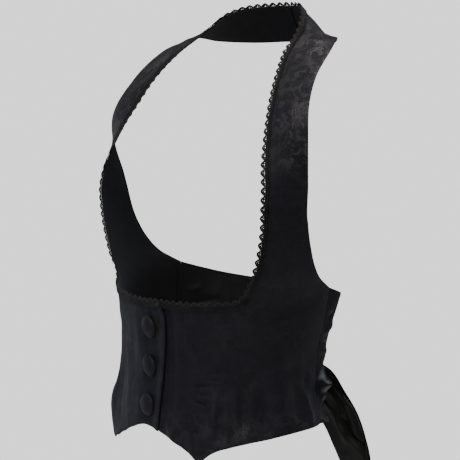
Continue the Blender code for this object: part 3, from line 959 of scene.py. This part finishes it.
@dataclass
class Front:
    """One front with its halter strap, in jacquard over a lining."""

    side: Side
    creases: tuple[Crease, ...]
    sharp_rows: tuple[int, ...] = (10, 20, 26)
    columns: int = 10
    along: int = 5
    across: int = 8
    flat: Pair = (0.300, 0.640)
    fade: float = 0.010  # how near the neckline edge the creases die out
    turned_up: Pair = (0.0026, 0.0075)  # the swell beside the right front's turned edge, and its width
    turned_in: Pair = (-0.0005, 0.0010)
    hem_reach: float = 0.030
    surface: Surface = field(init=False)

    def chart(self, surface: Surface) -> tuple[Array, Array]:
        """Each point's place on the cloth: round the torso and up, then across the strap and along it."""
        x, y, z = np.moveaxis(surface.points, 2, 0)
        around = np.degrees(np.arctan2(x * self.side.value, AXIS_Y - y)) * ARC_A_DEGREE
        up = z.copy()
        knee = int(np.argmax(z.min(axis=1) > STRAP_START_Z))
        run = surface.run(0)[:, surface.points.shape[1] // 2]
        around[knee:] = around[knee - 1, 0] + surface.run(1)[knee:]
        up[knee:] = z[knee - 1] + (run[knee:] - run[knee - 1])[:, None]
        return around, up

    def build(self) -> Piece:
        """Makes the panel."""
        node = "front_" + self.side.word
        low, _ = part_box("button_top")
        skin = Surface.of_node(node, self.columns, (-0.012 * self.side.value, low.y, low.z + 0.03))
        fine = skin.refined(self.along, self.across, self.sharp_rows)
        chart = self.chart(fine)
        wide, z = fine.run(1), fine.points[:, :, 2]
        degrees = chart[0] / ARC_A_DEGREE
        seam = np.where(z < UNDERARM_Z, bounded((SIDE_SEAM - degrees) / SEAM_FADE), 1.0)
        height = heights(self.creases, *chart) * seam + edge_roll(wide, *TURNED_EDGE)
        shift = (0.0, 0.0)
        if self.side is Side.RIGHT:
            shift = MIRROR_SHIFT
            for depth, width in (self.turned_up, self.turned_in):
                height += depth * bell(fine.run(0), 0.0, width)
        self.surface = fine.moved(height * bounded(wide / self.fade))
        if self.side is Side.RIGHT:
            reach = bounded(1.0 - (wide[:, -1:] - wide) / self.hem_reach) ** 2 * (z < HEM_Z)
            for middle, width, depth in HEM_ROUNDING:
                self.surface.points[:, :, 2] -= depth * bell(degrees, middle, width) * reach
        worn = self.surface.lipped(*(row * self.along for row in self.sharp_rows[:2]))
        chart = [np.hstack([part, part[:, -1:] + LIP]) + move for part, move in zip(chart, shift)]
        if self.side is Side.LEFT:
            worn = worn.tucked(last=True)
            chart = [np.vstack([part, part[-1:], part[-1:] + 0.001]) for part in chart]
        return settle(sheet_object("panel_" + node, worn, chart, JACQUARD, LINING), "jacquard", node)

    def declare(self, going: Sequence[Piece]) -> None:
        """Works out the front's area, rounded, and keeps nothing."""
        round(self.surface.area(), 3)


NEAR_FOLDS = folds(
    2.9,
    (47, -385, 46, -426, 5, 0.9), (50, -392, 49.5, -426, 3.2, -0.9), (52.5, -388, 53.5, -432, 4, 1.3),
    (57, -380, 58.5, -424, 5, 0.8), (61, -385, 61, -424, 4, -0.8), (66, -375, 64, -422, 6, 1),
    (72.5, -380, 71.5, -420, 6, -0.9), (80, -380, 79, -418, 6, 0.9), (88, -375, 90, -414, 6, -0.7),
    (95, -388, 96.5, -418, 4, 1.2), (34.5, -374, 46, -371.2, 2.6, -1.3), (37, -381.5, 44.5, -380.5, 2.6, -1),
    (35, -389.5, 43, -391.5, 2.6, -1.2), (42, -360, 52, -356, 2.6, -0.9), (40, -367, 49, -365, 2.4, -0.8),
    (27, -340, 35, -347, 8, -0.6), (55, -342, 74, -327, 9, -0.6), (66, -362, 96, -356, 8, -0.6),
    (92, -360, 103, -370, 6, 0.8), (99, -385, 107, -381, 6, -0.7), (18, -420, 26, -440, 6, 0.8),
    (70, -300, 96, -280, 10, -0.7), (16.2, -305, 17, -425, 3.2, -0.45), (21, -305, 21.8, -425, 5, -0.25),
    (42, -437, 70, -428, 12, 1.1),
)
FAR_FOLDS = folds(
    1.2,
    (-6, -296, -11, -316, 3.2, 1), (-1, -292, -4, -304, 3.5, -0.7), (4, -294, 1, -345, 6, -0.5),
    (14, -300, 10, -352, 7, 0.7), (21, -312, 17, -372, 6, -0.6), (8, -352, 6, -384, 5, 0.5),
    (9.5, -388, 8, -424, 6, 0.6), (28, -340, 22, -418, 8, 0.8), (34, -372, 33, -425, 5, -0.7),
    (42, -368, 43, -425, 7, 0.9), (53, -382, 55, -424, 5, -0.8), (64, -376, 64, -420, 6, 0.8),
    (75, -384, 77, -418, 5, -0.8), (88, -378, 90, -416, 6, 0.7), (97, -366, 107, -374, 5, 1),
    (99, -386, 107, -382, 5, -0.7), (30, -335, 52, -326, 9, -0.9),
)
# On the straps, in metres across the strap and along from the top of the chest
STRAP_FOLDS = (
    Crease((0.150, -0.010), (0.195, 0.012), 0.005, 0.0009),
    Crease((0.150, 0.004), (0.190, 0.022), 0.004, -0.0008),
    Crease((0.158, 0.022), (0.205, 0.034), 0.005, 0.0010),
    Crease((0.150, 0.045), (0.185, 0.050), 0.006, -0.0008),
    Crease((0.165, -0.060), (0.178, -0.020), 0.006, 0.0007),
    Crease((0.150, 0.080), (0.190, 0.100), 0.006, 0.0009),
    Crease((0.155, 0.120), (0.190, 0.128), 0.006, -0.0008),
)


# ---------------------------- the back


@dataclass
class Back:
    """One satin back panel, from the side seam to the laced gap."""

    side: Side
    creases: tuple[Crease, ...]
    rows_down: int = 9
    along: int = 7
    across: int = 8
    flat: Pair = (0.155, 0.175)
    fade: float = 0.012  # how near the side seam the creases die out
    tunnel: tuple[float, float, float] = (0.0006, 0.006, 0.004)  # the gap edge's casing: height, place and width

    def build(self) -> Piece:
        """Makes the panel."""
        node = "back_" + self.side.word
        low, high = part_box(node)
        outer = high.x if self.side is Side.LEFT else low.x
        fine = Surface.of_node(node, self.rows_down, (outer, low.y, high.z)).refined(self.along, self.across)
        x, y, z = np.moveaxis(fine.points, 2, 0)
        around = np.degrees(np.arctan2(np.abs(x), AXIS_Y - y)) * ARC_A_DEGREE
        run = fine.run(0)
        rise, place, width = self.tunnel
        height = heights(self.creases, around, z) * bounded(run / self.fade) + edge_roll(fine.run(1), *BACK_EDGE)
        surface = fine.moved(height + rise * bell(run[-1:] - run, place, width))
        past = np.repeat(around[:1], 2, axis=0) - np.array([[TUCK], [0.0]])
        chart = (np.vstack([past, around]), np.vstack([z[:1], z[:1], z]))
        piece = sheet_object("panel_" + node, surface.tucked(last=False), chart, BACK_SATIN, LINING)
        settle(piece, "satin", node)
        round(surface.area(), 4)
        return piece


BACK_FOLDS = folds(
    1.7,
    (107, -380.5, 124, -383, 7, 4.9), (109, -393, 119, -395, 3, 1), (109, -407, 124, -412, 7.5, -3.3),
    (110, -362, 126, -358, 4.5, -1), (109.5, -344, 121, -347, 3.2, 0.8), (109.5, -335, 116.5, -338, 3, -0.9),
    (109.5, -322, 124, -317, 4, 1.1), (110, -306, 115.5, -303.5, 3.6, -0.8), (124, -379, 152, -372, 6, 1.6),
    (126, -390, 158, -384, 5, -1.2), (120, -340, 126, -296, 5, -0.9), (127, -350, 132, -305, 5, 0.8),
    (136, -350, 140, -310, 5, -0.8), (146, -352, 149, -315, 5, 0.8), (121, -400, 120, -420, 4.5, -0.7),
    (129, -396, 129, -422, 5, 0.9), (139, -392, 140, -424, 5, -0.8), (150, -388, 151, -426, 5, 0.9),
    (160, -385, 160, -424, 4.5, -0.8), (158, -345, 166, -330, 4, 0.8), (157, -322, 166, -312, 4, -0.7),
    fade=3.2,
)


# ---------------------------- lace and stitching


class EdgeLine:
    """A front's neckline edge: evenly run places on it, the way onto the cloth and the way out."""

    def __init__(self, front: Front) -> None:
        """Args: front: the built front."""
        points = front.surface.points
        self.points = points[:, 0]
        self.inward = unit(points[:, 3] - points[:, 0])
        self.normals = front.surface.normals()[:, 0]
        self.run = front.surface.run(0)[:, 0]

    def start_run(self, x: float) -> float:
        """The run where the edge first reaches an x."""
        return float(self.run[int(np.argmax(np.abs(self.points[:, 0] - x) < 0.0015))])

    def strand(self, run: Array, across: Spread, out: Spread, half: Pair) -> Strand:
        """A thread near the edge.

        Args:
            run: how far along the edge.
            across: how far onto the cloth, and past its edge where negative.
            out: how far out from the cloth.
            half: half its width and height.

        Returns:
            The thread.
        """
        points, inward, normals = (
            np.stack([np.interp(run, self.run, values[:, k]) for k in range(3)], axis=-1)
            for values in (self.points, self.inward, self.normals)
        )
        points = points + inward * np.reshape(across, (-1, 1)) + normals * np.reshape(out, (-1, 1))
        return Strand(points, normals, *half)


@dataclass
class Lace:
    """Cotton edging of pointed scallops, each with a small arch and two bars, over a header sewn to the cloth."""

    front: Front
    pitch: float = 0.0095
    on_cloth: float = 0.0050
    past_edge: float = 0.0050
    zigzag_inset: float = 0.0003
    arch_half: Pair = (0.00118, 0.00036)
    spoke_half: Pair = (0.00068, 0.00028)
    header_half: Pair = (0.00046, 0.00030)
    header_low: float = 0.0004
    out: float = 0.0008
    start: float = 0.0008  # where the right front's edging starts along its edge
    arch_steps: int = 6
    header_steps: int = 8  # to a scallop
    sides: int = 6
    inner_size: Pair = (0.44, 0.46)  # the small arch's share of the outer one, across and out
    bar: tuple[Pair, Pair] = ((0.13, 0.34), (0.24, 0.60))  # shares off the middle and of the reach

    def arch(self, reach: float, steps: int) -> list[Pair]:
        """A pointed arch across one scallop.

        Args:
            reach: how far past the edge its tip lies.
            steps: points on each side.

        Returns:
            Shares of the pitch, and metres past the edge.
        """
        half = []
        for k in range(steps + 1):
            share = k / steps
            half.append((0.04 + 0.46 * share, reach * (0.25 * share + 0.75 * math.sin(share * math.pi / 2))))
        return half + [(1.0 - a, b) for a, b in half[-2::-1]]

    def scallop(self) -> list[tuple[Array, Pair]]:
        """One scallop's threads, each with half its width and height: the arch, the small arch and the bars."""
        reach = self.past_edge - self.arch_half[0]
        wide, high = self.inner_size
        inner = [(0.5 + (a - 0.5) * wide, b * high) for a, b in self.arch(reach, 4)]
        bars = [[(0.5 + sign * a, reach * b) for a, b in self.bar] for sign in (-1.0, 1.0)]
        outer = (np.array(self.arch(reach, self.arch_steps)), self.arch_half)
        return [outer] + [(np.array(thread), self.spoke_half) for thread in [inner] + bars]

    def header(self, count: int) -> list[Spread]:
        """The header's threads, as metres onto the cloth: three cords and two crossed zigzags."""
        low, high = self.header_low, self.on_cloth
        ends = (low + self.zigzag_inset, high - self.zigzag_inset)
        zigzag = np.where(np.arange(count) % 2 == 0, *ends)
        return [low, (low + high) / 2, high, zigzag, low + high - zigzag]

    def build(self) -> Piece:
        """Makes the edging along one front."""
        word = self.front.side.word
        node = "lace_" + word
        edge = EdgeLine(self.front)
        low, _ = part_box(node)
        first = edge.start_run(low.x) if self.front.side is Side.LEFT else self.start
        count = round((edge.run[-1] - first) / self.pitch)
        pitch = (edge.run[-1] - first) / count
        strands = [
            edge.strand(first + (k + thread[:, 0]) * pitch, -thread[:, 1], self.out, half)
            for k in range(count) for thread, half in self.scallop()
        ]
        run = np.linspace(first, edge.run[-1], count * self.header_steps + 1)
        strands += [edge.strand(run, across, self.out, self.header_half) for across in self.header(run.size)]
        return settle(thread_object("edging_" + word, strands, self.sides, LACE_COTTON), "lace", node)


@dataclass
class Stitches:
    """A row of small stitches that holds the lace's header down."""

    front: Front
    pitch: float = 0.0030
    length: float = 0.0021
    inset: float = 0.0060
    ends: float = 0.004
    rise: float = 0.0002
    half: Pair = (0.00024, 0.00020)
    sides: int = 4

    def build(self) -> Piece:
        """Makes the stitches of one front as one mesh."""
        edge = EdgeLine(self.front)
        share = np.linspace(0.0, 1.0, 4)
        along, out = self.length * share, self.rise * (1 + np.sin(math.pi * share))
        count = int((edge.run[-1] - 2 * self.ends) / self.pitch)
        strands = [
            edge.strand(self.ends + k * self.pitch + along, self.inset, out, self.half) for k in range(count)
        ]
        name = "lace_stitches_" + self.front.side.word
        return settle(thread_object(name, strands, self.sides, STITCHING), "lace")


# ---------------------------- buttons


@dataclass
class Button:
    """A domed button covered in the front's cloth, drawn in under its rim."""

    node: str
    turn: float
    lean: float = math.radians(-7.0)
    droop: float = math.radians(8.0)
    shift: float = 0.0030
    flatter: float = 0.90
    # Shares of the radius and of the height, from the crown to the seat
    profile: tuple[Pair, ...] = (
        (0.00, 1.00), (0.14, 0.995), (0.28, 0.97), (0.42, 0.93), (0.56, 0.865), (0.69, 0.775), (0.80, 0.665),
        (0.89, 0.535), (0.955, 0.40), (0.99, 0.27), (0.985, 0.15), (0.94, 0.06), (0.84, 0.0), (0.0, 0.0),
    )
    sides: int = 48
    puckers: int = 22
    pucker_depth: float = 0.00010

    def seat(self) -> tuple[Vector, Vector, float, float]:
        """The button's seat, its axis, radius and height, read from its solid."""
        points = np.array([tuple(vert.co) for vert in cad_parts[self.node].data.vertices])
        arms = points - points.mean(axis=0)
        axis = np.linalg.svd(arms)[2][2]
        axis = axis if axis[1] < 0 else -axis
        far = np.linalg.norm(arms - np.outer(arms @ axis, axis), axis=1)
        centre = points[far > far.max() * 0.9].mean(axis=0)
        depth = (points - centre) @ axis
        return Vector(centre + axis * depth.min()), Vector(axis), float(far.max()), float(np.ptp(depth))

    def build(self) -> Piece:
        """Makes the button by turning its profile."""
        seat, axis, radius, height = self.seat()
        height *= self.flatter
        seat += Vector((0.0, 0.0, 1.0)).cross(axis).normalized() * self.shift
        axis = Matrix.Rotation(self.lean, 3, "Z") @ Matrix.Rotation(self.droop, 3, "X") @ axis
        build = bmesh.new()
        verts = [build.verts.new((r * radius, 0.0, h * height)) for r, h in self.profile]
        edges = [build.edges.new(pair) for pair in zip(verts[:-1], verts[1:])]
        turned = dict(cent=(0, 0, 0), axis=(0, 0, 1), angle=math.tau, steps=self.sides, use_merge=True)
        bmesh.ops.spin(build, geom=verts + edges, **turned)
        bmesh.ops.remove_doubles(build, verts=build.verts, dist=MERGE)
        bmesh.ops.recalc_face_normals(build, faces=build.faces)
        for vert in build.verts:
            far = math.hypot(vert.co.x, vert.co.y) / radius
            angle = math.atan2(vert.co.y, vert.co.x)
            if vert.co.z > height * 0.1:
                wave = math.sin(angle * self.puckers + math.sin(angle * 3))
                vert.co.z += self.pucker_depth * wave * max(far - 0.8, 0) / 0.2
        layer = build.loops.layers.uv.new("cloth")
        cosine, sine = math.cos(self.turn), math.sin(self.turn)
        for face in build.faces:
            for corner in face.loops:
                x, y, _ = corner.vert.co
                corner[layer].uv = (x * cosine - y * sine + self.turn, x * sine + y * cosine)
        turn = axis.to_track_quat("Z", "Y").to_matrix().to_4x4()
        bmesh.ops.transform(build, matrix=Matrix.Translation(seat) @ turn, verts=build.verts)
        return settle(finished("covered_" + self.node, build, BUTTON_CLOTH), "button_cloth", self.node)


# ---------------------------- lacing


@dataclass
class Lacing:
    """The satin ribbon across the gap, and the narrow loops on the panels' edges that it runs through."""

    nodes: tuple[str, ...] = (
        "lacing_bar", "lacing_under_1", "lacing_over_1", "lacing_under_2", "lacing_over_2", "lacing_under_3",
        "lacing_over_3",
    )
    columns: int = 2
    finer: int = 5  # new rows and columns for each of the solid's
    thickness: float = 0.0005
    width: float = 0.0108
    phase_step: float = 1.7  # from one ribbon to the next, so that no two hang alike
    slack: float = 0.0012
    cup: float = 0.0005
    ripple: float = 0.00025
    loop_half: Pair = (0.0018, 0.0005)
    loop_reach: float = 0.0062
    loop_rise: float = 0.0026
    loop_sink: float = 0.0012
    loop_steps: int = 8
    loop_rows: tuple[int, int] = (2, -3)
    loop_sides: int = 8

    def ribbon(self, node: str, phase: float) -> Surface:
        """One stretch of ribbon, a little cupped and slack."""
        _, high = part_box(node)
        fine = Surface.of_node(node, self.columns, high).refined(self.finer, self.finer)
        run, wide = fine.run(0), fine.run(1)
        share = run / run[-1:]
        aside = wide / wide[:, -1:] * 2 - 1
        arch = np.sin(share * math.pi)
        slack = self.slack * arch**2 * (1.0 + 0.3 * math.sin(phase))
        ripple = self.ripple * np.sin(share * 17.0 + phase) * aside
        surface = fine.moved(slack + self.cup * (1 - aside**2) * arch + ripple)
        piece = sheet_object("ribbon_" + node, surface, (wide, run), RIBBON, RIBBON, self.thickness)
        settle(piece, "ribbon", node)
        return surface

    def loop(self, surface: Surface, row: int) -> Strand:
        """The arch of one small loop over a ribbon's end."""
        line = surface.points[row]
        normal = surface.normals()[row].mean(axis=0)
        angle = np.linspace(0.0, math.pi, self.loop_steps + 1)[:, None]
        points = line.mean(axis=0) - unit(line[-1] - line[0]) * self.loop_reach * np.cos(angle)
        points = points + normal * (self.loop_rise * np.sin(angle) - self.loop_sink)
        ends = surface.points[row + 1].mean(axis=0) - surface.points[row - 1].mean(axis=0)
        return Strand(points, unit(np.cross(ends, slopes(points))), *self.loop_half)

    def build(self) -> None:
        """Makes all ribbons and loops."""
        ribbons = [self.ribbon(node, self.phase_step * k) for k, node in enumerate(self.nodes)]
        loops = [self.loop(surface, row) for surface in ribbons for row in self.loop_rows]
        settle(thread_object("lacing_loops", loops, self.loop_sides, BACK_SATIN), "satin")


# ---------------------------- the bow


@dataclass
class Bow:
    """The wide satin bow at the waist: a wrapped knot, two drooping loops and two tails."""

    band: float = 0.042
    waist_z: float = -0.374
    # The middle of a loop's band from the knot to its end: x, y, z, half its width, and the space between its layers
    loop_path: tuple[tuple[float, float, float, float, float], ...] = (
        (0.0160, 0.0658, -0.3765, 0.0090, 0.0050),
        (0.0262, 0.0695, -0.3866, 0.0128, 0.0095),
        (0.0370, 0.0742, -0.3994, 0.0190, 0.0130),
        (0.0488, 0.0800, -0.4185, 0.0186, 0.0150),
        (0.0622, 0.0873, -0.4422, 0.0186, 0.0150),
        (0.0745, 0.0910, -0.4700, 0.0180, 0.0120),
        (0.0850, 0.0940, -0.4980, 0.0165, 0.0),
    )
    loop_side: tuple[float, float, float] = (0.94, 0.20, 0.28)
    # The folds of a loop's inner layer, each along three places (along, across), then its width and depth
    inner_folds: tuple[tuple[Pair, Pair, Pair, float, float], ...] = (
        ((0.34, 0.20), (0.50, 0.42), (0.66, 0.40), 0.26, 0.0032),
        ((0.38, 0.55), (0.50, 0.76), (0.60, 0.80), 0.09, 0.0020),
        ((0.40, -0.20), (0.56, 0.08), (0.72, 0.02), 0.20, -0.0030),
        ((0.52, 0.98), (0.64, 0.72), (0.76, 0.74), 0.17, -0.0030),
        ((0.66, 0.18), (0.76, 0.38), (0.86, 0.82), 0.11, 0.0044),
        ((0.76, 0.05), (0.84, 0.46), (0.90, 0.70), 0.16, -0.0022),
    )
    outer_folds: Pair = (0.0022, -0.0026)
    gathers: Pair = (0.0012, 0.13)  # beside the knot: their height, and how far along the loop they reach
    roll_back: float = -0.0026
    layer_gap: float = 0.0022  # what is left between the layers where the inner one closes up
    right_share: float = 0.80
    sag: float = 0.0080  # how much lower the middle of a loop's end hangs than its edges
    end_share: float = 0.17  # the rounded end's share of a loop
    loop_steps: int = 10
    loop_columns: int = 48
    tail_columns: int = 10
    tail_finer: tuple[int, int] = (6, 4)
    tail_length: float = 0.070
    tail_lift: float = 0.0075
    tail_close: float = 0.0038
    tail_over: float = 0.0030
    tail_pleats: float = 0.0014
    tail_waves: float = 0.0016
    knot_grid: tuple[int, int] = (64, 40)
    knot_ridges: int = 7
    ridge_depth: float = 0.09
    ridge_slant: float = 0.12
    knot_waist: Pair = (0.10, 0.3)  # how far the knot's middle draws in, and how wide that is

    def loop_surface(self, side: Side) -> Surface:
        """One loop's band, out from the knot on its outer layer and back on its inner one, its folds in place."""
        table = np.array(self.loop_path)
        if side is Side.RIGHT:
            table[:, 2] = self.waist_z + (table[:, 2] - self.waist_z) * self.right_share
        fine = hermite(table, slopes(table), slopes(table), self.loop_steps)
        middle, half, gap = fine[:, :3], fine[:, 3:4], np.maximum(fine[:, 4:5], 0.0)
        share = np.linspace(0.0, 1.0, len(fine))[:, None]
        bend = 1.0 - self.end_share
        full = float(np.interp(bend, share[:, 0], gap[:, 0]))
        gap = np.where(share > bend, full * np.sqrt(bounded(1 - ((share - bend) / self.end_share) ** 2)), gap)
        along = unit(slopes(middle))
        way = unit(np.array(self.loop_side))
        across = unit(way - along * (along @ way)[:, None])
        away = np.cross(across, along)
        away *= np.where(away[:, 1:2] < 0, -1.0, 1.0)
        aside = np.linspace(-1.0, 1.0, self.loop_columns + 1)[None, :]
        sag = self.sag * (0.6 - aside**2) * share**3
        layers = []
        for layer in (1.0, -1.0):
            out = layer * gap / 2 + self.folds(aside, share, layer) * bounded((1 - share) / 0.06)
            if layer < 0:
                out = out + np.maximum(gap - self.layer_gap, 0.0) * bounded(aside + 0.1) ** 1.6
            moves = ((across, half * aside), (away, out), (along, sag))
            layers.append(sum((way[:, None] * reach[:, :, None] for way, reach in moves), middle[:, None]))
        points = np.concatenate([layers[0], layers[1][-2::-1]])
        points[:, :, 0] *= side.value
        return Surface(points, side is Side.LEFT)

    def folds(self, aside: Array, share: Array, layer: float) -> Array:
        """The loop's own folds.

        Args:
            aside: the place across the band, from -1 to 1.
            share: the place along it, from 0 at the knot to 1 at its end.
            layer: 1 for the outer layer, -1 for the inner one.

        Returns:
            How far each point lies towards the outer layer's side.
        """
        middle = np.sin(share * math.pi)
        total = self.gathers[0] * bell(share, 0.0, self.gathers[1]) * np.cos(aside * 9.0 + 0.5)
        if layer > 0:
            slant = 0.35 - 0.5 * share
            ridge, valley = self.outer_folds
            total = total + ridge * bell(aside, slant, 0.22) * middle**0.6
            return total + valley * bell(aside, -slant, 0.20) * middle
        total = total + self.roll_back * bounded((-0.2 - aside) / 0.8) ** 2 * middle**0.5
        for begin, turn, finish, width, depth in self.inner_folds:
            bend = bounded((share - begin[0]) / (turn[0] - begin[0]))
            onward = bounded((share - turn[0]) / (finish[0] - turn[0]))
            line = begin[1] + (turn[1] - begin[1]) * bend + (finish[1] - turn[1]) * onward
            past = np.maximum(np.maximum(begin[0] - share, share - finish[0]), 0.0)
            total = total + depth * bell(aside, line, width) * bell(past, 0.0, 0.05)
        return total

    def stretch(self, node: str, fine: Surface, height: Spread, long: float) -> None:
        """One stretch of the band, as a piece.

        Args:
            node: the CAD node that it stands for.
            fine: its surface.
            height: how far its pleats and waves move it out.
            long: its flat length.
        """
        run, wide = fine.run(0), fine.run(1)
        surface = fine.moved(height + edge_roll(wide, *BOW_EDGE))
        piece = settle(sheet_object("satin_" + node, surface, (wide, run), BOW_SATIN, BOW_SATIN), "satin", node)
        area = round(min(surface.area(), self.band * long), 4)

    def loop(self, side: Side) -> None:
        """One drooping loop."""
        fine = self.loop_surface(side)
        self.stretch("bow_loop_" + side.word, fine, 0.0, float(fine.run(0)[-1].mean()))

    def tail(self, side: Side) -> None:
        """One hanging tail."""
        node = "bow_tail_" + side.word
        low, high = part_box(node)
        start = (low.x if side is Side.LEFT else high.x, high.y, high.z)
        skin = Surface.of_node(node, self.tail_columns, start, lambda point: Vector((0, 1, 0)))
        fine = skin.refined(*self.tail_finer)
        run, wide = fine.run(0), fine.run(1)
        aside, share = wide / wide[:, -1:], run / run[-1:]
        fine.points[:, :, 0] -= side.value * self.tail_close * share
        fine.points[:, :, 1] += self.tail_over * share * (side is Side.LEFT)
        fine.points[:, :, 2] += self.tail_lift * share**2
        pleats = self.tail_pleats * np.cos(aside * 13.0 + side.value) * (1 - share) ** 0.4
        waves = self.tail_waves * np.sin(aside * 7.0 + 1.2 * side.value + share * 1.5) * share
        self.stretch(node, fine, pleats + waves, self.tail_length)

    def knot(self) -> None:
        """The knot: a soft lump with the turns of the satin that wraps it."""
        low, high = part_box("bow_knot")
        middle, half = (low + high) / 2, (high - low) / 2
        build = bmesh.new()
        round_it, down_it = self.knot_grid
        bmesh.ops.create_uvsphere(build, u_segments=round_it, v_segments=down_it, radius=1.0)
        layer = build.loops.layers.uv.new("cloth")
        for face in build.faces:
            for corner in face.loops:
                spot = corner.vert.co
                corner[layer].uv = (spot.x * half.x, math.atan2(spot.y, spot.z) * half.z)
        for vert in build.verts:
            x, y, z = vert.co
            along = x + self.ridge_slant * math.sin(3.0 * math.atan2(y, z))
            swell = 1.0 + self.ridge_depth * math.cos(along * math.pi * self.knot_ridges / 2) * (1 - x**2)
            swell -= self.knot_waist[0] * bell(x, 0.0, self.knot_waist[1])
            vert.co = Vector((x * half.x, y * half.y * swell, z * half.z * swell)) + middle
        settle(finished("satin_bow_knot", build, BOW_SATIN), "satin", "bow_knot")

    def build(self) -> None:
        """Makes the whole bow."""
        self.knot()
        for side in Side:
            self.loop(side)
            self.tail(side)


# ---------------------------- studio


@dataclass(frozen=True)
class Lamp:
    """A large soft square light that faces the vest."""

    name: str
    azimuth: float  # where it stands round the vest, in degrees, 0 being in front of the wearer
    away: float  # metres from the vest's axis
    height: float
    size: float
    power: float  # watts
    colour: Colour
    aim: tuple[float, float, float] = (0.0, AXIS_Y, -0.25)

    def build(self) -> None:
        """Hangs the light."""
        lamp = bpy.data.lights.new(self.name, "AREA")
        lamp.shape, lamp.size, lamp.energy, lamp.color = "SQUARE", self.size, self.power, self.colour
        made = placed(self.name, lamp)
        angle = math.radians(self.azimuth)
        made.location = (math.sin(angle) * self.away, -math.cos(angle) * self.away, self.height)
        made.rotation_euler = (Vector(self.aim) - made.location).to_track_quat("-Z", "Y").to_euler()


@dataclass
class Studio:
    """A plain pale floor, soft light and the camera at the photograph's angle."""

    floor_z: float = -0.95
    floor_radius: float = 1.35
    azimuth: float = 52.0
    pitch: float = 6.57
    distance: float = 1.9
    side_step: float = 0.00667
    lens: float = 133.8
    sensor: float = 36.0
    seen: float = 1.5  # how bright the surroundings look
    ambient: float = 0.015  # how much light they give
    tint: Colour = (0.96, 0.90, 1.0)
    lamps: tuple[Lamp, ...] = (
        Lamp("key", -60.0, 1.35, -0.30, 0.8, 1.75, (0.52, 0.66, 1.0)),
        Lamp("top", 48.0, 2.2, 2.5, 1.6, 45.0, (1.0, 0.97, 0.97)),
        Lamp("above", 0.0, 0.25, 2.4, 1.6, 38.0, (1.0, 0.96, 0.93)),
        Lamp("front", 20.0, 2.2, -0.2, 1.2, 6.2, (0.97, 0.96, 1.0)),
        Lamp("side", 100.0, 2.2, -0.1, 1.0, 1.4, (0.86, 0.92, 1.0)),
        Lamp("rim", 168.0, 2.2, 0.4, 1.2, 8.0, (0.80, 0.87, 1.0)),
    )

    def floor(self) -> None:
        """The floor."""
        build = bmesh.new()
        bmesh.ops.create_circle(build, cap_ends=True, segments=96, radius=self.floor_radius)
        bmesh.ops.translate(build, verts=build.verts, vec=(0, 0, self.floor_z))
        finished("floor", build, Backdrop().material())

    def world(self) -> None:
        """White surroundings, which give less light than they show."""
        world = bpy.data.worlds.new("studio")
        world.use_nodes = True
        tree = world.node_tree
        path, mix = (tree.nodes.new("ShaderNode" + kind) for kind in ("LightPath", "MixShader"))
        lit, seen = tree.nodes["Background"], tree.nodes.new("ShaderNodeBackground")
        for node, colour, strength in ((lit, self.tint, self.ambient), (seen, (1.0, 1.0, 1.0), self.seen)):
            node.inputs[0].default_value = (*colour, 1.0)
            node.inputs[1].default_value = strength
        for slot, wire in enumerate((path.outputs["Is Camera Ray"], lit.outputs[0], seen.outputs[0])):
            tree.links.new(wire, mix.inputs[slot])
        tree.links.new(mix.outputs[0], tree.nodes["World Output"].inputs[0])
        bpy.context.scene.world = world

    def camera(self) -> None:
        """The camera."""
        lens = bpy.data.cameras.new("camera")
        lens.lens, lens.sensor_width, lens.clip_end = self.lens, self.sensor, 100.0
        made = placed("camera", lens)
        angle, pitch = math.radians(self.azimuth), math.radians(self.pitch)
        right = Vector((math.cos(angle), math.sin(angle), 0.0))
        back = Vector((math.sin(angle), -math.cos(angle), 0.0))
        made.location = Vector((0.0, AXIS_Y, 0.0)) + back * self.distance + right * self.side_step
        look = -back * math.cos(pitch) - Vector((0, 0, 1)) * math.sin(pitch)
        made.rotation_euler = look.to_track_quat("-Z", "Y").to_euler()
        bpy.context.scene.camera = made

    def build(self) -> None:
        """Sets it all up."""
        self.floor()
        self.world()
        for lamp in self.lamps:
            lamp.build()
        self.camera()


def main() -> None:
    """Builds every piece in order."""
    logging.basicConfig(level=logging.INFO, format="%(message)s")
    Studio().build()
    for side, creases in ((Side.LEFT, NEAR_FOLDS), (Side.RIGHT, FAR_FOLDS)):
        front = Front(side, creases + STRAP_FOLDS)
        panel = front.build()
        front.declare([Lace(front).build(), Stitches(front).build()])
        Back(side, BACK_FOLDS).build()
    for node, turn in (("button_top", 0.3), ("button_middle", 1.4), ("button_bottom", 2.3)):
        Button(node, turn).build()
    Lacing().build()
    Bow().build()


if __name__ == "__main__":
    main()
